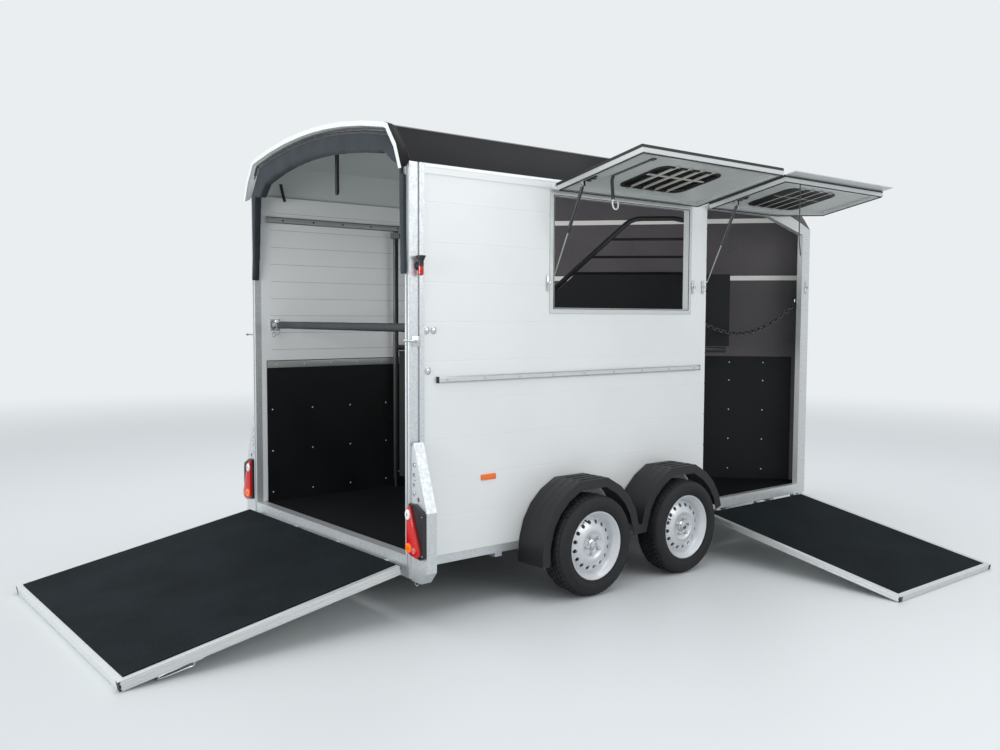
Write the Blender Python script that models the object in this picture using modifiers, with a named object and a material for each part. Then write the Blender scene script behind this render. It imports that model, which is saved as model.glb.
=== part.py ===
"""Slant-load horse trailer for two horses: tandem axle, rear ramp, side ramp, two side flaps.

Metres, +X forward to the coupling, +Y left, +Z up. The origin is on top of the load floor, on the
centreline, 1.410 m ahead of the rear posts and close to midway between the axles.
"""

import math

import bmesh
import bpy
from mathutils import Matrix, Vector

# Fits
seat = 0.0003  # gap between two pieces that touch
pin_gap = 0.0005  # running clearance at pins and rods
swing_gap = 0.006  # clearance of pieces that move past others

# Body box
rear_x = -1.410  # rear face of the rear posts
body_length = 3.460  # rear posts to the front face of the front posts
half_width = 0.900  # outer face of the plank walls
wall_thickness = 0.035
wall_top = 1.920
rail_top = 1.970
rail_stand = 0.005  # the rails and posts stand proud of the planks
floor_thickness = 0.020
side_rail_height = 0.043
plank_height = 0.200
plank_groove = 0.004
post_width = 0.090  # rear posts, along the trailer
post_depth = 0.042  # their inner face, which the wall laps behind the outer flange
post_flange = 0.012
front_post_width = 0.090
front_drop_start = 2.950  # from the rear face, where the top edge starts to fall
front_drop = 0.130

# Ground and wheels
ground_z = -0.340
tyre_radius = 0.283
wheel_y = half_width + 0.175
axle_spacing = 0.765
axle_middle = 0.0485

# Mudguards
guard_radius = 0.374
guard_crown = 0.364  # the flat top above the wheel's centre
guard_flat = 0.110  # half the length of the flat top
guard_lead = 0.015  # the arches' centres are this far ahead of the wheels'
guard_foot_z = -0.133
guard_inner_y = half_width + rail_stand + seat
guard_outer_y = half_width + 0.212
guard_thickness = 0.005
guard_skirt = 0.052

# Rails along the sides
rub_rail_x = (0.170, 2.223)  # from the rear face
rub_rail_z = (0.872, 0.903)
rub_rail_depth = 0.022
tie_rail_z = (1.803, 1.843)
tie_rail_depth = 0.018

# Side door and window openings, measured from the rear face and from the floor
door_start = 2.300
door_head = 1.905
window_start = 0.967
window_end = 2.113
window_sill = 1.260
window_head = 1.880
frame_width = 0.032
frame_stand = 0.006

# Roof section
roof_thickness = 0.008
roof_shoulder_z = 2.170
roof_shoulder_y = half_width - 0.155
roof_crown_z = 2.250
roof_lean = 0.105  # how far the roof side leans in, from rail to shoulder
rim_depth = 0.050
nose_length = 0.520
nose_crown_drop = 0.62

# Tack room wall and slant partition
slant = math.radians(45)
tack_angle = math.radians(49)
tack_point = (3.350, 0.326 - half_width)  # from the rear face, a point of the tack room wall's rear face
tack_end_y = 0.130 - half_width
tack_wall_thickness = 0.018
kick_height = 0.920
kick_thickness = 0.006
tack_door_x = (rear_x + 2.420, rear_x + 3.020)
tack_door_z = (0.080, 1.700)
tack_hinge_levels = (0.30, 0.89, 1.48)
partition_post_x = rear_x + 1.030
partition_post_y = half_width - 0.088
partition_length = 2.280
tube_radius = 0.019
grille_radius = 0.009

# Breeching bar
bar_radius = 0.014
pad_radius = 0.023

# Ramps
ramp_thickness = 0.045
rear_ramp_length = 1.410
rear_ramp_half_width = half_width - 0.010
rear_hinge_z = -0.060
rear_hinge_offset = 0.036  # behind the posts
side_ramp_length = 1.363
side_ramp_start = door_start - 0.015
side_ramp_end = body_length - 0.075
side_ramp_thickness = 0.034
side_hinge_z = -0.078
side_hinge_y = -half_width - 0.031
mat_thickness = 0.005
mat_edge = 0.030

spring_foot = (
    -0.054, 0.105 - half_width, -0.060
)  # from the ramp's hinge axis to the gas spring's lower pin
spring_out = 0.400
spring_below = 0.035
rear_hinges = (0.100 - half_width, -0.290, 0.210, half_width - 0.180)  # start of each moving knuckle
side_hinges = (0.080, 0.520, 0.960)  # from the ramp's rear edge

# Flaps
flap_open = math.radians(11.5)  # above the horizontal
flap_hinge_y = half_width + 0.028
flap_hinge_z = wall_top - 0.005
flap_thickness = 0.041
flap_inner_y = -half_width - 0.015  # face toward the body when closed
flap_edge = 0.012  # from the hinge axis to the edge of the panel
hinge_radius = 0.006
flap_length = 0.655
flap_skin = 0.006
flap_lip = 0.075  # the front flap closes over the top edge of the side ramp
strut_out = 0.180  # from the flap hinge to the strut's pin
strut_below = 0.030
strut_foot_z = window_sill + 0.180
strut_foot_y = 0.015 - half_width
strut_x = (rear_x + window_start + 0.018, rear_x + door_start + 0.030)
flap_x = (
    (rear_x + window_start - 0.017, rear_x + window_end + 0.037),
    (rear_x + door_start - 0.025, rear_x + side_ramp_end),
)
flap_pane_x = (
    (flap_x[0][0] + 0.340, flap_x[0][0] + 0.850),
    (flap_x[1][0] + 0.245, flap_x[1][0] + 0.755),
)
flap_knuckle_x = (
    (flap_x[0][0] + 0.030, flap_x[0][1] - 0.030),
    (flap_x[1][0] + 0.060, flap_x[1][0] + 0.680),
)

# Door chain
chain_y = 0.048 - half_width
chain_sag = 0.165

# Drawbar and jockey wheel
coupling_x = rear_x + 4.720
coupling_z = 0.085
draw_top = 0.025
draw_bottom = -0.060
jack_x = rear_x + 4.300
jack_y = 0.155
jack_wheel_radius = 0.100
jack_tube_radius = 0.030
jack_stem_radius = 0.024

front_x = rear_x + body_length
inner_y = half_width - wall_thickness
outer_y = half_width + rail_stand
door_x = (rear_x + door_start, front_x - front_post_width)
window_x = (rear_x + window_start, rear_x + window_end)
wheel_x = (axle_middle - axle_spacing / 2, axle_middle + axle_spacing / 2)
wheel_z = ground_z + tyre_radius
right_through = (-half_width - 0.100, -inner_y + 0.065)  # a cut through the right wall
left_through = (inner_y - 0.065, half_width + 0.100)
frame_top = -floor_thickness - seat
side_rail_bottom = frame_top - side_rail_height

for old in list(bpy.data.objects):
    bpy.data.objects.remove(old)

trailer = bpy.data.collections.new("HorseTrailer")
cutters = bpy.data.collections.new("Cutters")
bpy.context.scene.collection.children.link(trailer)
bpy.context.scene.collection.children.link(cutters)
cutters.hide_render = True


def finish(name, colour, roughness, metallic=0.0):
    """A Principled material; the colour is linear RGB."""
    made = bpy.data.materials.new(name)
    made.use_nodes = True
    shader = made.node_tree.nodes["Principled BSDF"]
    shader.inputs["Base Color"].default_value = (*colour, 1)
    shader.inputs["Roughness"].default_value = roughness
    shader.inputs["Metallic"].default_value = metallic
    return made


galvanised = finish("galvanised_steel", (0.50, 0.52, 0.54), 0.45, 0.9)
aluminium = finish("extruded_aluminium", (0.72, 0.73, 0.74), 0.35, 0.9)
white_plank = finish("coated_plank", (0.78, 0.79, 0.80), 0.40, 0.2)
dark_shell = finish("moulded_polyester_dark", (0.012, 0.012, 0.014), 0.15)
pale_shell = finish("moulded_polyester_pale", (0.62, 0.64, 0.64), 0.30)
rubber = finish("black_rubber", (0.012, 0.014, 0.016), 0.80)
black_paint = finish("black_powder_coat", (0.010, 0.010, 0.011), 0.40)
black_plastic = finish("black_plastic", (0.018, 0.018, 0.020), 0.50)
charcoal = finish("charcoal_lining", (0.045, 0.040, 0.042), 0.70)
silver_rim = finish("silver_wheel_paint", (0.60, 0.61, 0.62), 0.35, 0.6)
red_lens = finish("red_lens", (0.60, 0.01, 0.01), 0.15)
smoked = finish("acrylic_pane", (0.10, 0.11, 0.11), 0.08)
fabric = finish("hood_fabric", (0.060, 0.072, 0.082), 0.85)
chrome = finish("bright_steel", (0.70, 0.70, 0.70), 0.15, 1.0)


def add(name, mesh, material, collection=trailer):
    made = bpy.data.objects.new(name, mesh)
    collection.objects.link(made)
    if material:
        mesh.materials.append(material)
    if collection is cutters:
        made.hide_render = True
        made.display_type = "WIRE"
    return made


def from_bmesh(name, bm, material, collection=trailer):
    mesh = bpy.data.meshes.new(name)
    bmesh.ops.recalc_face_normals(bm, faces=bm.faces)
    bm.to_mesh(mesh)
    bm.free()
    return add(name, mesh, material, collection)


def box(name, x, y, z, material=None, collection=trailer):
    """A box between the limits x, y and z, each a (low, high) pair."""
    bm = bmesh.new()
    bmesh.ops.create_cube(bm, size=1)
    bmesh.ops.scale(bm, vec=(x[1] - x[0], y[1] - y[0], z[1] - z[0]), verts=bm.verts)
    made = from_bmesh(name, bm, material, collection)
    made.location = (sum(x) / 2, sum(y) / 2, sum(z) / 2)
    return made


def prism(name, outline, axis, span, material=None, collection=trailer):
    """A flat outline extruded along an axis; the outline lists the other two coordinates in order."""
    place = {
        "X": lambda a, b, c: (c, a, b),
        "Y": lambda a, b, c: (a, c, b),
        "Z": lambda a, b, c: (a, b, c),
    }[axis]
    bm = bmesh.new()
    face = bm.faces.new([bm.verts.new(place(a, b, span[0])) for a, b in outline])
    grown = bmesh.ops.extrude_face_region(bm, geom=[face])["geom"]
    moved = [g for g in grown if isinstance(g, bmesh.types.BMVert)]
    bmesh.ops.translate(bm, vec=place(0, 0, span[1] - span[0]), verts=moved)
    return from_bmesh(name, bm, material, collection)


def rod(name, start, end, radius, material=None, collection=trailer, sides=16, end_radius=None):
    """A straight round bar between two points, or a cone with another radius at its end."""
    start, end = Vector(start), Vector(end)
    bm = bmesh.new()
    bmesh.ops.create_cone(
        bm,
        cap_ends=True,
        segments=sides,
        radius1=radius,
        radius2=radius if end_radius is None else end_radius,
        depth=(end - start).length,
    )
    made = from_bmesh(name, bm, material, collection)
    made.location = (start + end) / 2
    made.rotation_euler = (end - start).to_track_quat("Z", "Y").to_euler()
    made.data.shade_smooth()
    made.data.set_sharp_from_angle(angle=math.radians(40))
    return made


def pipe(name, points, radius, material=None, collection=trailer, resolution=2):
    """A bent tube along the points, made a welded mesh so that it can be cut and joined."""
    curve = bpy.data.curves.new(name, "CURVE")
    curve.dimensions = "3D"
    curve.bevel_depth = radius
    curve.bevel_resolution = resolution
    curve.use_fill_caps = True
    spline = curve.splines.new("POLY")
    spline.points.add(len(points) - 1)
    for slot, point in zip(spline.points, points):
        slot.co = (*point, 1)
    drawn = bpy.data.objects.new(name + "_curve", curve)
    bpy.context.scene.collection.objects.link(drawn)
    bpy.context.view_layer.update()
    graph = bpy.context.evaluated_depsgraph_get()
    mesh = bpy.data.meshes.new_from_object(drawn.evaluated_get(graph))
    mesh.name = name
    bm = bmesh.new()
    bm.from_mesh(mesh)
    bmesh.ops.remove_doubles(bm, verts=bm.verts, dist=0.00005)
    bmesh.ops.recalc_face_normals(bm, faces=bm.faces)
    bm.to_mesh(mesh)
    bm.free()
    mesh.materials.clear()
    bpy.data.objects.remove(drawn)
    made = add(name, mesh, material, collection)
    made.data.shade_smooth()
    made.data.set_sharp_from_angle(angle=math.radians(40))
    return made


def rounded(points, radius, steps=3):
    """The points of a path with its inner corners rounded."""
    points = [Vector(p) for p in points]
    path = [points[0]]
    for before, corner, after in zip(points, points[1:], points[2:]):
        back = (before - corner).normalized()
        ahead = (after - corner).normalized()
        turn = back.angle(ahead)
        reach = min(
            radius / math.tan(turn / 2), 0.45 * (before - corner).length, 0.45 * (after - corner).length
        )
        first, last = corner + back * reach, corner + ahead * reach
        for step in range(steps + 1):
            t = step / steps
            path.append(first * (1 - t) ** 2 + corner * 2 * t * (1 - t) + last * t**2)
    path.append(points[-1])
    return path


def turned(name, profile, sides, material=None, collection=trailer):
    """A profile of (radius, height) points turned about Z."""
    bm = bmesh.new()
    verts = [bm.verts.new((r, 0, h)) for r, h in profile]
    for a, b in zip(verts, verts[1:]):
        bm.edges.new((a, b))
    if profile[0][0] > 0 and profile[-1][0] > 0:
        bm.edges.new((verts[-1], verts[0]))
    mesh = bpy.data.meshes.new(name)
    bm.to_mesh(mesh)
    bm.free()
    made = add(name, mesh, material, collection)
    screw = made.modifiers.new("Turn", "SCREW")
    screw.steps = screw.render_steps = sides
    screw.use_merge_vertices = True
    screw.merge_threshold = 0.0001
    screw.use_smooth_shade = True
    return made


def boolean(base, other, operation):
    modifier = base.modifiers.new(operation.title(), "BOOLEAN")
    modifier.operation = operation
    modifier.solver = "EXACT"
    modifier.object = other
    if other.users_collection[0] is not cutters:
        for owner in other.users_collection:
            owner.objects.unlink(other)
        cutters.objects.link(other)
        other.hide_render = True
        other.display_type = "WIRE"


def join(base, *others):
    for other in others:
        boolean(base, other, "UNION")
    return base


def cut(base, *others):
    for other in others:
        boolean(base, other, "DIFFERENCE")
    return base


def mirrored(outline):
    """The outline mirrored over its first coordinate, kept in order."""
    return [(-a, b) for a, b in reversed(outline)]


def joint_at(name, location, pieces):
    """An empty on a joint's axis that carries the moving pieces."""
    empty = bpy.data.objects.new(name, None)
    empty.empty_display_size = 0.1
    trailer.objects.link(empty)
    empty.location = location
    for piece in with_operands(pieces):
        piece.parent = empty
        piece.matrix_parent_inverse = Matrix.Translation(-Vector(location))
    return empty


def with_operands(pieces):
    """The pieces and every object that cuts or joins them."""
    found = []
    for piece in pieces:
        found.append(piece)
        operands = [m.object for m in piece.modifiers if m.type == "BOOLEAN"]
        found += with_operands(operands)
    return found


def place(matrix, pieces):
    """Move finished pieces with their operands from their own frame into the trailer's."""
    for piece in with_operands(pieces):
        piece.matrix_basis = matrix @ piece.matrix_basis


# Chassis

def make_chassis():
    beam_y = (0.420, 0.470)
    beam_z = (-0.120, frame_top)
    chassis = box("chassis", (rear_x + 0.061, front_x + 0.02), beam_y, beam_z, galvanised)
    pieces = [box("beam_right", (rear_x + 0.061, front_x + 0.02), (-beam_y[1], -beam_y[0]), beam_z)]
    cross_width = 0.050
    cross_x = (0.070, 0.560, 1.060, 1.560, 2.060, 2.560, 3.060, 3.410)
    for i, start in enumerate(cross_x):
        span = (rear_x + start, rear_x + start + cross_width)
        reach = half_width - 0.010 if span[0] > rear_x + post_width else inner_y - 0.002
        pieces.append(box(f"cross_{i}", span, (-reach, reach), (-0.090, frame_top)))
    for side in (1, -1):
        y = sorted((side * (inner_y + 0.003), side * outer_y))
        span = (rear_x + post_width + seat, front_x)
        pieces.append(box(f"side_rail_{side}", span, y, (side_rail_bottom, frame_top)))
    for offset in side_hinges:
        start = rear_x + side_ramp_start + offset + 0.0805
        end = start + 0.040
        axis = (side_hinge_y, side_hinge_z)
        pieces.append(rod(f"sill_knuckle_{offset}", (start, *axis), (end, *axis), 0.009, sides=12))
        pieces.append(
            box(
                f"sill_leaf_{offset}",
                (start + 0.003, end - 0.003),
                (axis[0], 0.020 - half_width),
                (axis[1] - 0.008, axis[1] + 0.007),
            )
        )
        pieces.append(
            box(
                f"sill_plate_{offset}",
                (start + 0.001, end - 0.001),
                (-outer_y + 0.001, 0.022 - half_width),
                (axis[1] - 0.010, -0.030),
            )
        )
    return join(chassis, *pieces)


def make_floor():
    outline = [(rear_x + 0.060, -inner_y + seat), (front_x, -inner_y + seat)]
    outline += [(x, -y + 0.020) for x, y in nose_plan()[1:-1]]
    outline += [(x, -y) for x, y in reversed(outline)]
    return prism("floor", outline, "Z", (-floor_thickness, 0), rubber)


# Roof and nose, lofted from one arched section

def arch_section(reach, edge_z, rise):
    """Half a roof section from the edge to the crown: (y, z) points, reach wide and rise high."""
    shoulder_y = reach * roof_shoulder_y / outer_y
    lean = reach * roof_lean / outer_y
    shoulder_z = edge_z + rise * (roof_shoulder_z - rail_top) / (roof_crown_z - rail_top)
    crown_z = edge_z + rise
    side_z = edge_z + 0.78 * (shoulder_z - edge_z)
    points = [
        (reach, edge_z), (reach - lean * 0.45, edge_z + 0.5 * (side_z - edge_z)), (reach - lean, side_z)
    ]
    points.append(
        (reach - lean - 0.35 * (reach - lean - shoulder_y), shoulder_z - 0.3 * (shoulder_z - side_z))
    )
    drop = crown_z - shoulder_z
    for share in (1.0, 0.72, 0.45, 0.2):
        points.append((shoulder_y * share, crown_z - drop * share**2))
    points.append((0.0, crown_z))
    return points


def front_fall():
    """Stations along the part where the top edge falls towards the nose."""
    start = rear_x + front_drop_start
    return [start + (front_x - start) * i / 4 for i in range(5)]


def edge_height(x):
    """Height of the body's top edge, which falls towards the nose."""
    start = rear_x + front_drop_start
    if x <= start:
        return rail_top
    share = (x - start) / (front_x - start)
    return rail_top - front_drop * share**1.5


def crown_rise(x):
    """Rise of the roof's crown over its edge."""
    start = rear_x + front_drop_start
    full = roof_crown_z - rail_top
    return full if x <= start else full - 0.010 * (x - start) / (front_x - start)


def nose_plan():
    """The nose in plan: (x, half width) from the body's front face to its tip."""
    plan = []
    for u in (0.0, 0.18, 0.38, 0.58, 0.78, 0.93):
        x = front_x + nose_length * u
        plan.append((x, nose_reach(x)))
    return plan


def nose_reach(x):
    return outer_y * (1 - (x - front_x) / nose_length) ** 0.70


def nose_edge(x):
    u = (x - front_x) / nose_length
    return edge_height(front_x) - nose_crown_drop * 0.62 * u**1.6


def solid(name, rings, material, collection=trailer):
    """A closed body through rings of equally many points, with a face over each end ring."""
    bm = bmesh.new()
    rows = [[bm.verts.new(point) for point in ring] for ring in rings]
    for row, ahead in zip(rows, rows[1:]):
        for i in range(len(row)):
            j = (i + 1) % len(row)
            bm.faces.new((row[i], row[j], ahead[j], ahead[i]))
    bm.faces.new(rows[0])
    bm.faces.new(rows[-1])
    made = from_bmesh(name, bm, material, collection)
    made.data.shade_smooth()
    made.data.set_sharp_from_angle(angle=math.radians(35))
    return made


def inset(section, thickness):
    """An open (y, z) section moved inwards by the thickness, its ends kept on their level."""
    moved = []
    last = len(section) - 1
    for i, (y, z) in enumerate(section):
        before = Vector(section[max(i - 1, 0)])
        after = Vector(section[min(i + 1, last)])
        point = Vector((y, z))
        if i in (0, last):
            moved.append((y - thickness * (1 if y > 0 else -1), z))
            continue
        first, second = (point - before).normalized(), (after - point).normalized()
        normal = Vector((-(first.y + second.y), first.x + second.x)).normalized()
        spread = max(0.5, math.sqrt(max(0.0, (1 + first.dot(second)) / 2)))
        point += normal * thickness / spread
        moved.append((point.x, point.y))
    return moved


def shell(name, sections, material, thickness, front_cap=0.0):
    """An arched shell through (x, section) stations; front_cap closes it with a wall that thick."""
    rings = []
    for x, section in sections:
        inner = inset(section, thickness)
        rings.append([(x, y, z) for y, z in section] + [(x, y, z) for y, z in reversed(inner)])
    made = solid(name, rings, material)
    if front_cap:
        x, section = sections[-1]
        wall = prism(name + "_front", section, "X", (x - front_cap, x))
        join(made, wall)
    return made


def whole(half):
    """A full section from +Y to -Y out of a half that ends on the centreline."""
    return half + [(-y, z) for y, z in reversed(half[:-1])]


def section_at(x):
    """Half the arched section of the roof, or of the nose's top in front of the body."""
    if x <= front_x:
        return arch_section(outer_y, edge_height(x) + seat, crown_rise(x))
    reach = nose_reach(x)
    return arch_section(reach, nose_edge(x), crown_rise(front_x) * (0.25 + 0.75 * reach / outer_y))


def ceiling(x, y, gap):
    """Height of the inner face of the roof or nose, less a gap, over a point."""
    half = inset(whole(section_at(x)), roof_thickness + gap)
    y = abs(y)
    if y >= half[0][0]:
        return half[0][1]
    for (ya, za), (yb, zb) in zip(half, half[1:]):
        if yb <= y <= ya:
            return za + (zb - za) * (ya - y) / max(ya - yb, 1e-6)
    return half[0][1]


def make_roof():
    sections = []
    for x in [rear_x + 0.010, rear_x + 1.500] + front_fall():
        sections.append((x, whole(section_at(x))))
    return shell("roof", sections, dark_shell, roof_thickness)


def make_rim():
    """The pale moulding round the rear edge of the roof."""
    stand = 0.006
    sections = []
    for back, grow, low in (
        (-0.0097, 0.0, 0.0), (seat, 0.0, 0.0), (0.020, stand, 0.028), (rim_depth, stand, 0.040)
    ):
        half = arch_section(outer_y, rail_top + seat, crown_rise(rear_x))
        half = [(y + grow * min(1, y / 0.7), z + grow) for y, z in half]
        half[0] = (half[0][0], rail_top + seat - low)
        sections.append((rear_x - back, whole(half)))
    return shell("roof_rim", sections, pale_shell, 0.026)


def make_nose():
    sections = []
    for x, reach in nose_plan():
        half = [(reach, side_rail_bottom), (reach, 0.5 * (nose_edge(x) + side_rail_bottom))]
        sections.append((x + seat, whole(half + section_at(max(x, front_x + 0.0001)))))
    return shell("nose", sections, dark_shell, roof_thickness, roof_thickness)


# Body frame and walls

def make_rear_frame():
    groove = 0.008
    frame = None
    pieces = []
    for side in (1, -1):
        outline = [
            (rear_x, inner_y),
            (rear_x + post_depth, inner_y),
            (rear_x + post_depth, outer_y - post_flange),
            (rear_x + post_width, outer_y - post_flange),
            (rear_x + post_width, outer_y),
            (rear_x + 0.060, outer_y),
            (rear_x + 0.060, outer_y - groove),
            (rear_x + 0.048, outer_y - groove),
            (rear_x + 0.048, outer_y),
            (rear_x, outer_y),
            (rear_x, outer_y - 0.014),
            (rear_x + groove, outer_y - 0.014),
            (rear_x + groove, outer_y - 0.026),
            (rear_x, outer_y - 0.026),
        ]
        post = prism(f"post_{side}", [(x, side * y) for x, y in outline], "Z", (-0.110, rail_top))
        pieces.append(post)
    frame = box(
        "rear_frame",
        (rear_x + 0.001, rear_x + 0.0597),
        (-inner_y - 0.010, inner_y + 0.010),
        (-0.108, 0.004),
        galvanised,
    )
    hinge = Vector((rear_x - rear_hinge_offset, 0, rear_hinge_z))
    for y in rear_hinges:
        start, end = y + 0.0805, y + 0.1200
        pieces.append(
            rod(f"fixed_knuckle_{y}", (hinge.x, start, hinge.z), (hinge.x, end, hinge.z), 0.011, sides=12)
        )
        pieces.append(
            box(
                f"fixed_leaf_{y}",
                (hinge.x, rear_x + 0.01),
                (start + 0.003, end - 0.003),
                (hinge.z - 0.009, hinge.z + 0.007),
            )
        )
    pin = hinge + Vector(spring_foot)
    lug = [
        (rear_x + 0.020, -0.080),
        (rear_x + 0.020, -0.108),
        (pin.x + 0.012, pin.z - 0.014),
        (pin.x - 0.010, pin.z - 0.010),
        (pin.x - 0.010, pin.z + 0.004),
        (rear_x - 0.040, -0.104),
        (rear_x - 0.010, -0.090),
    ]
    pieces.append(prism("spring_plate", lug, "Y", (pin.y + 0.0055, pin.y + 0.0115)))
    return join(frame, *pieces)


def plank_wall(name, side):
    """A wall of interlocking planks, drawn as its section with a groove at each joint, and its top rail."""
    low, high = frame_top + seat, wall_top
    joints = []
    z = low + plank_height
    while z < high - 0.5 * plank_height:
        joints.append(z)
        z += plank_height
    outer = [(half_width, low)]
    for z in joints:
        outer += [
            (half_width, z - plank_groove), (half_width - plank_groove, z), (half_width, z + plank_groove)
        ]
    outer += [(half_width, high), (outer_y, high), (outer_y, rail_top), (inner_y, rail_top)]
    for z in reversed(joints):
        outer += [(inner_y, z + plank_groove), (inner_y + plank_groove, z), (inner_y, z - plank_groove)]
    outer.append((inner_y, low))
    start = rear_x + post_width + seat
    end = door_x[0] if side < 0 else front_x
    wall = prism(name, [(side * y, z) for y, z in outer], "X", (start, end), white_plank)
    lap = sorted((side * inner_y, side * (outer_y - post_flange - seat)))
    tongue = box(
        name + "_tongue", (rear_x + post_depth + seat, start + 0.001), lap, (0.004 + seat, rail_top), None
    )
    return join(wall, tongue)


def front_fall_cutter(name):
    """Everything above the falling top edge at the front."""
    steps = front_fall()
    outline = [(x, edge_height(x)) for x in steps]
    outline += [
        (front_x + 0.050, edge_height(front_x) - 0.02),
        (front_x + 0.050, rail_top + 0.200),
        (steps[0], rail_top + 0.200),
    ]
    return prism(name, outline, "Y", (-half_width - 0.300, half_width + 0.300), None, cutters)


def flap_strip(word, start, end):
    """Fixed half of a flap's hinge: a strip on the top rail with a short knuckle at each end."""
    strip = box(
        f"{word}_strip",
        (start - 0.028, end + 0.028),
        (-outer_y - 0.0130, -outer_y + 0.002),
        (flap_hinge_z + 0.010, flap_hinge_z + 0.030),
    )
    pieces = [strip]
    for low in (start - 0.026, end + pin_gap):
        x = (low, low + 0.0255)
        pieces.append(
            rod(
                f"{word}_end_{low}",
                (x[0], -flap_hinge_y, flap_hinge_z),
                (x[1], -flap_hinge_y, flap_hinge_z),
                hinge_radius,
                sides=10,
            )
        )
        pieces.append(
            box(
                f"{word}_arm_{low}",
                (x[0] + 0.002, x[1] - 0.002),
                (-flap_hinge_y, -outer_y + 0.001),
                (flap_hinge_z + 0.0005, flap_hinge_z + 0.012),
            )
        )
    return pieces


def make_walls():
    left = plank_wall("left_wall", 1)
    tie_x = (rear_x + post_depth + 0.050, partition_post_x - tube_radius - 0.001)
    join(left, box("tie_rail", tie_x, (inner_y - tie_rail_depth, inner_y + 0.001), tie_rail_z))
    cut(left, front_fall_cutter("cut_left_front"))
    door = box("cut_tack_door", tack_door_x, left_through, tack_door_z, None, cutters)
    cut(left, door)
    hinge = (tack_door_x[1] + 0.004, half_width + 0.014)
    for level in tack_hinge_levels:
        low, high = level + 0.0305, level + 0.0580
        leaf = box(
            f"tack_plate_{level}",
            (hinge[0], hinge[0] + 0.034),
            (half_width - 0.004, half_width + 0.012),
            (low + 0.002, high - 0.002),
        )
        join(left, rod(f"tack_fixed_{level}", (*hinge, low), (*hinge, high), 0.008, sides=12), leaf)
    right = plank_wall("right_wall", -1)
    join(right, *flap_strip("rear", *flap_knuckle_x[0]))
    foot = strut_x[1]
    join(
        right,
        rod(
            "front_strut_stud",
            (door_x[0] - 0.01, strut_foot_y, strut_foot_z),
            (foot - 0.0045, strut_foot_y, strut_foot_z),
            0.005,
            sides=10,
        ),
    )
    gap = frame_width
    opening = box(
        "cut_window",
        (window_x[0] - gap - seat, window_x[1] + gap + seat),
        right_through,
        (window_sill - gap - seat, window_head + gap + seat),
        None,
        cutters,
    )
    cut(right, opening)
    return left, right


def make_rails():
    """Rub rails along the outside of both walls."""
    low, high = rub_rail_z
    far = half_width + rub_rail_depth
    section = [
        (half_width + seat, low),
        (far - 0.006, low),
        (far, low + 0.006),
        (far, high - 0.006),
        (far - 0.006, high),
        (half_width + seat, high),
    ]
    span = (rear_x + rub_rail_x[0], rear_x + rub_rail_x[1])
    for side, word in ((1, "left"), (-1, "right")):
        prism(f"rub_rail_{word}", [(side * y, z) for y, z in section], "X", span, aluminium)


def make_window_frame():
    outer_x = (window_x[0] - frame_width, window_x[1] + frame_width)
    outer_z = (window_sill - frame_width, window_head + frame_width)
    frame = box("window_frame", outer_x, (-half_width - frame_stand, -inner_y), outer_z, aluminium)
    hole = box("cut_window_frame", window_x, right_through, (window_sill, window_head), None, cutters)
    stud = rod(
        "rear_strut_stud",
        (window_x[0] - 0.01, strut_foot_y, strut_foot_z),
        (strut_x[0] - 0.0045, strut_foot_y, strut_foot_z),
        0.005,
        sides=10,
    )
    return join(cut(frame, hole), stud)


def make_door_frame():
    """The front post, sill and head of the side door, with the falling front corner."""
    y = (-outer_y, -inner_y)
    start = door_x[0] + seat
    corner = rear_x + front_drop_start
    low = frame_top + seat
    outline = [(start, low), (front_x, low)]
    outline += [(x, edge_height(x)) for x in reversed(front_fall())]
    outline.append((start, rail_top))
    frame = prism("door_frame", outline, "Y", y, aluminium)
    inner = [
        (start - 0.05, 0.004),
        (door_x[1], 0.004),
        (door_x[1], door_head - 0.105),
        (corner + 0.010, door_head),
        (start - 0.05, door_head),
    ]
    cut(frame, prism("cut_door", inner, "Y", right_through, None, cutters))
    return join(frame, *flap_strip("front", *flap_knuckle_x[1]))


def make_tack_door():
    """The door of the tack room in the hidden left wall, hinged at its front edge."""
    clear = swing_gap
    x = (tack_door_x[0] + clear, tack_door_x[1] - clear)
    z = (tack_door_z[0] + clear, tack_door_z[1] - clear)
    hinge = (tack_door_x[1] + 0.004, half_width + 0.014)
    door = box("tack_door", x, (half_width - 0.028, half_width + 0.004), z, white_plank)
    pieces = [
        box("tack_handle", (x[0] + 0.03, x[0] + 0.15), (half_width + 0.0, half_width + 0.022), (0.86, 0.90))
    ]
    for level in tack_hinge_levels:
        pieces.append(
            rod(f"tack_knuckle_{level}", (*hinge, level - 0.03), (*hinge, level + 0.03), 0.008, sides=12)
        )
        pieces.append(
            box(
                f"tack_leaf_{level}",
                (x[1] - 0.06, hinge[0]),
                (half_width + 0.002, half_width + 0.012),
                (level - 0.025, level + 0.025),
            )
        )
    join(door, *pieces)
    joint_at("tack_door_axis", (*hinge, 0.89), [door])
    return door


# Tack room wall, mats and partition

def slant_frame(origin, angle):
    """Matrix with X along a slant (forward and to the right), Y across it to the front left."""
    return Matrix.Translation(Vector((*origin, 0))) @ Matrix.Rotation(-angle, 4, "Z")


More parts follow.
